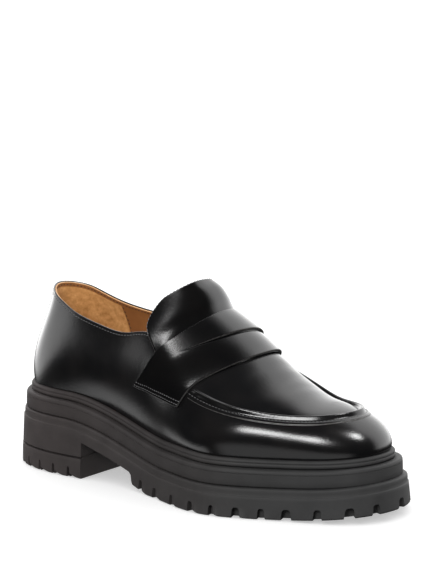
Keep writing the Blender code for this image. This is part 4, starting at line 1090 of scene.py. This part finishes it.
# studio
studio = {
    # camera: degrees, distance in millimetres, pixels for each millimetre at the target, pixel where the target falls
    "azimuth": 37.2, "elevation": 13.43, "distance": 2060.0, "scale": 1.645, "target": (137.5, 0.0, 55.0),
    "seenAt": (205.5, 397.8), "image": (434, 579), "sensor": 36.0,
    # lights, all aimed at one point of the shoe from one distance in metres: direction round and above the horizon
    # in degrees, size in metres, share that stays bright in the middle, watts, lit part
    "aim": (165.0, -10.0, 60.0), "lightDistance": 1.25,
    "lights": [
        ("sideSoftbox", -72.0, 27.0, (0.56, 0.66), 0.08, 22.0, "body"),
        ("highSoftbox", -112.0, 56.0, (0.30, 0.56), 0.04, 8.0, "strap"),
        ("tongueSoftbox", -106.0, 50.0, (0.50, 0.46), 0.04, 9.0, "tongue"),
        ("toeSoftbox", -4.0, 54.0, (0.54, 0.54), 0.08, 20.0, "vamp"),
        ("heelSoftbox", -180.0, 6.5, (2.00, 1.12), 0.38, 12.0, "heel")],
    # flags that keep each softbox to its own part of the shoe; the rest of the room is seen by every piece
    "lit": {
        "heel": ("upperLeather", "outerStitches"),
        "strap": ("saddleStrap", "strapStitches"),
        "tongue": ("tongueFlap", "tongueStitches"),
        "vamp": ("upperLeather", "outerStitches", "strapStitches", "tongueStitches", "innerLining", "liningStitches"),
        "body": ("upperLeather", "outerStitches", "strapStitches", "tongueStitches", "innerLining", "liningStitches",
                 "treadUnit", "heelTread", "midsolePlate", "weltStrip")},
    # the wall behind the shoe that the gloss sees: middle direction, cosines where it fades in, heights where its
    # top and foot fade out
    "wall": {"azimuth": 100.0, "fade": (0.05, 0.60), "top": (0.90, 1.0), "foot": (-0.24, -0.05), "strength": 2.3,
             "dark": 0.03},
    # bright floor seen low down by the quarter and by the toe: direction, cosines and heights of its fade, strength
    "ground": [(-180.0, (0.60, 0.80), (-0.42, -0.53), 1.2), (-72.0, (0.72, 0.93), (-0.18, -0.44), 0.75)],
    # light for matte surfaces from below and from above, and the heights between which it changes
    "fill": (0.10, 1.08), "fillHeights": (-0.02, 0.34),
    "floorSize": 6.0, "floorDrop": 0.0002, "floorColour": (0.80, 0.80, 0.80, 1.0), "floorGlow": 0.45,
}
white = (1.0, 1.0, 1.0, 1.0)


# unit vector for an angle round from +x and one above the horizon
def direction(azimuth, elevation=0.0):
    a, e = np.radians((azimuth, elevation))
    return np.array([np.cos(a) * np.cos(e), np.sin(a) * np.cos(e), np.sin(e)])


# adds a camera or light at a place, looking against a direction, with its own up side up
def placeAt(name, data, place, back):
    back = unit(back)
    right = unit(np.cross(upward, back))
    up = np.cross(back, right)
    holder = bpy.data.objects.new(name, data)
    holder.matrix_world = Matrix([*np.column_stack([right, up, back, place]).tolist(), [0, 0, 0, 1]])
    bpy.context.scene.collection.objects.link(holder)
    return holder


# camera: turned so that the target falls on its own pixel with the image centre on the axis
def addCamera():
    back = direction(studio["azimuth"] - 90.0, studio["elevation"])
    right = direction(studio["azimuth"])
    eye = toRow(studio["target"]) + back * studio["distance"] * 0.001
    wide, tall = studio["image"]
    focal = studio["scale"] * studio["distance"]
    aside, above = (wide / 2 - studio["seenAt"][0]) / focal, (studio["seenAt"][1] - tall / 2) / focal
    camera = bpy.data.cameras.new("camera")
    camera.sensor_fit = "HORIZONTAL"
    camera.sensor_width = studio["sensor"]
    camera.lens = focal / wide * studio["sensor"]
    camera.clip_end = 50.0
    bpy.context.scene.camera = placeAt("camera", camera, eye, back - right * aside - np.cross(back, right) * above)


# softboxes: each is bright in the middle and dies away to the rim, as a cloth front does
def addLights():
    lit = {name: bpy.data.collections.new(name + " lit") for name in studio["lit"]}
    for name, pieces in studio["lit"].items():
        for piece in pieces:
            lit[name].objects.link(bpy.data.objects[piece])
    for name, azimuth, elevation, size, plateau, watts, part in studio["lights"]:
        light = bpy.data.lights.new(name, "AREA")
        light.shape = "ELLIPSE"
        light.size, light.size_y = size
        light.energy = watts
        light.use_nodes = True
        tree = light.node_tree
        place = addNode(tree, "NewGeometry").outputs["Parametric"]
        off = addNode(tree, "VectorMath", {0: place, 1: (0.5, 0.5, 0.0)}, operation="SUBTRACT")
        far = addNode(tree, "VectorMath", {0: off.outputs["Vector"]}, operation="LENGTH").outputs["Value"]
        fall = rangeOf(tree, far, span=(0.5, plateau), interpolation_type="SMOOTHSTEP")
        feed(tree.nodes["Emission"], {"Strength": fall})
        back = direction(azimuth, elevation)
        holder = placeAt(name, light, toRow(studio["aim"]) + back * studio["lightDistance"], back)
        holder.light_linking.receiver_collection = lit[part]


# world: even white light for matte surfaces; gloss sees a dark room with a pale wall and a bright floor,
# each the product of an eased fade round it and eased fades in height, and the brightest of them counts
def addWorld():
    wall = studio["wall"]
    world = bpy.data.worlds.new("studio")
    bpy.context.scene.world = world
    world.use_nodes = True
    tree = world.node_tree
    way = addNode(tree, "TexCoord").outputs["Generated"]
    flat = addNode(tree, "VectorMath", {0: way, 1: (1.0, 1.0, 0.0)}, operation="MULTIPLY")
    level = addNode(tree, "VectorMath", {0: flat.outputs["Vector"]}, operation="NORMALIZE").outputs["Vector"]
    height = addNode(tree, "SeparateXYZ", {"Vector": way}).outputs["Z"]

    def eased(socket, span, to=(0.0, 1.0)):
        return rangeOf(tree, socket, to, span, interpolation_type="SMOOTHSTEP")

    def facing(azimuth, fade):
        toward = addNode(tree, "VectorMath", {0: level, 1: direction(azimuth)}, operation="DOT_PRODUCT")
        return eased(toward.outputs["Value"], fade)

    def joined(a, b, operation="MULTIPLY"):
        return addNode(tree, "Math", {0: a, 1: b}, operation=operation).outputs["Value"]

    tall = joined(eased(height, wall["foot"]), eased(height, wall["top"], (wall["strength"], wall["dark"])))
    seen = joined(joined(facing(wall["azimuth"], wall["fade"]), tall), wall["dark"], "MAXIMUM")
    for azimuth, fade, depth, strength in studio["ground"]:
        glow = joined(facing(azimuth, fade), eased(height, depth, (0.0, strength)))
        seen = joined(seen, glow, "MAXIMUM")
    room = addNode(tree, "Background", {"Color": white, "Strength": seen})
    above = rangeOf(tree, height, studio["fill"], studio["fillHeights"])
    fill = addNode(tree, "Background", {"Color": white, "Strength": above})
    glossy = addNode(tree, "LightPath").outputs["Is Glossy Ray"]
    mix = addNode(tree, "MixShader", {0: glossy, 1: fill.outputs[0], 2: room.outputs[0]})
    feed(tree.nodes["World Output"], {"Surface": mix.outputs[0]})


# floor: one square just under the sole, glowing a little, seen by the camera alone
def addFloor():
    mesh = bpy.data.meshes.new("floor")
    corners = np.array([(-1, -1), (1, -1), (1, 1), (-1, 1)]) * studio["floorSize"]
    mesh.from_pydata([(x, y, -studio["floorDrop"]) for x, y in corners.tolist()], [], [(0, 1, 2, 3)])
    material, _, shader = newMaterial("pale floor")
    feed(shader, {"Base Color": studio["floorColour"], "Roughness": 0.7, "Emission Color": white,
                  "Emission Strength": studio["floorGlow"]})
    mesh.materials.append(material)
    floor = bpy.data.objects.new("floor", mesh)
    bpy.context.scene.collection.objects.link(floor)
    floor.visible_glossy = floor.visible_diffuse = floor.visible_shadow = False


addCamera()
addLights()
addWorld()
addFloor()
bpy.context.scene.view_settings.view_transform = "Standard"
print("studio set")
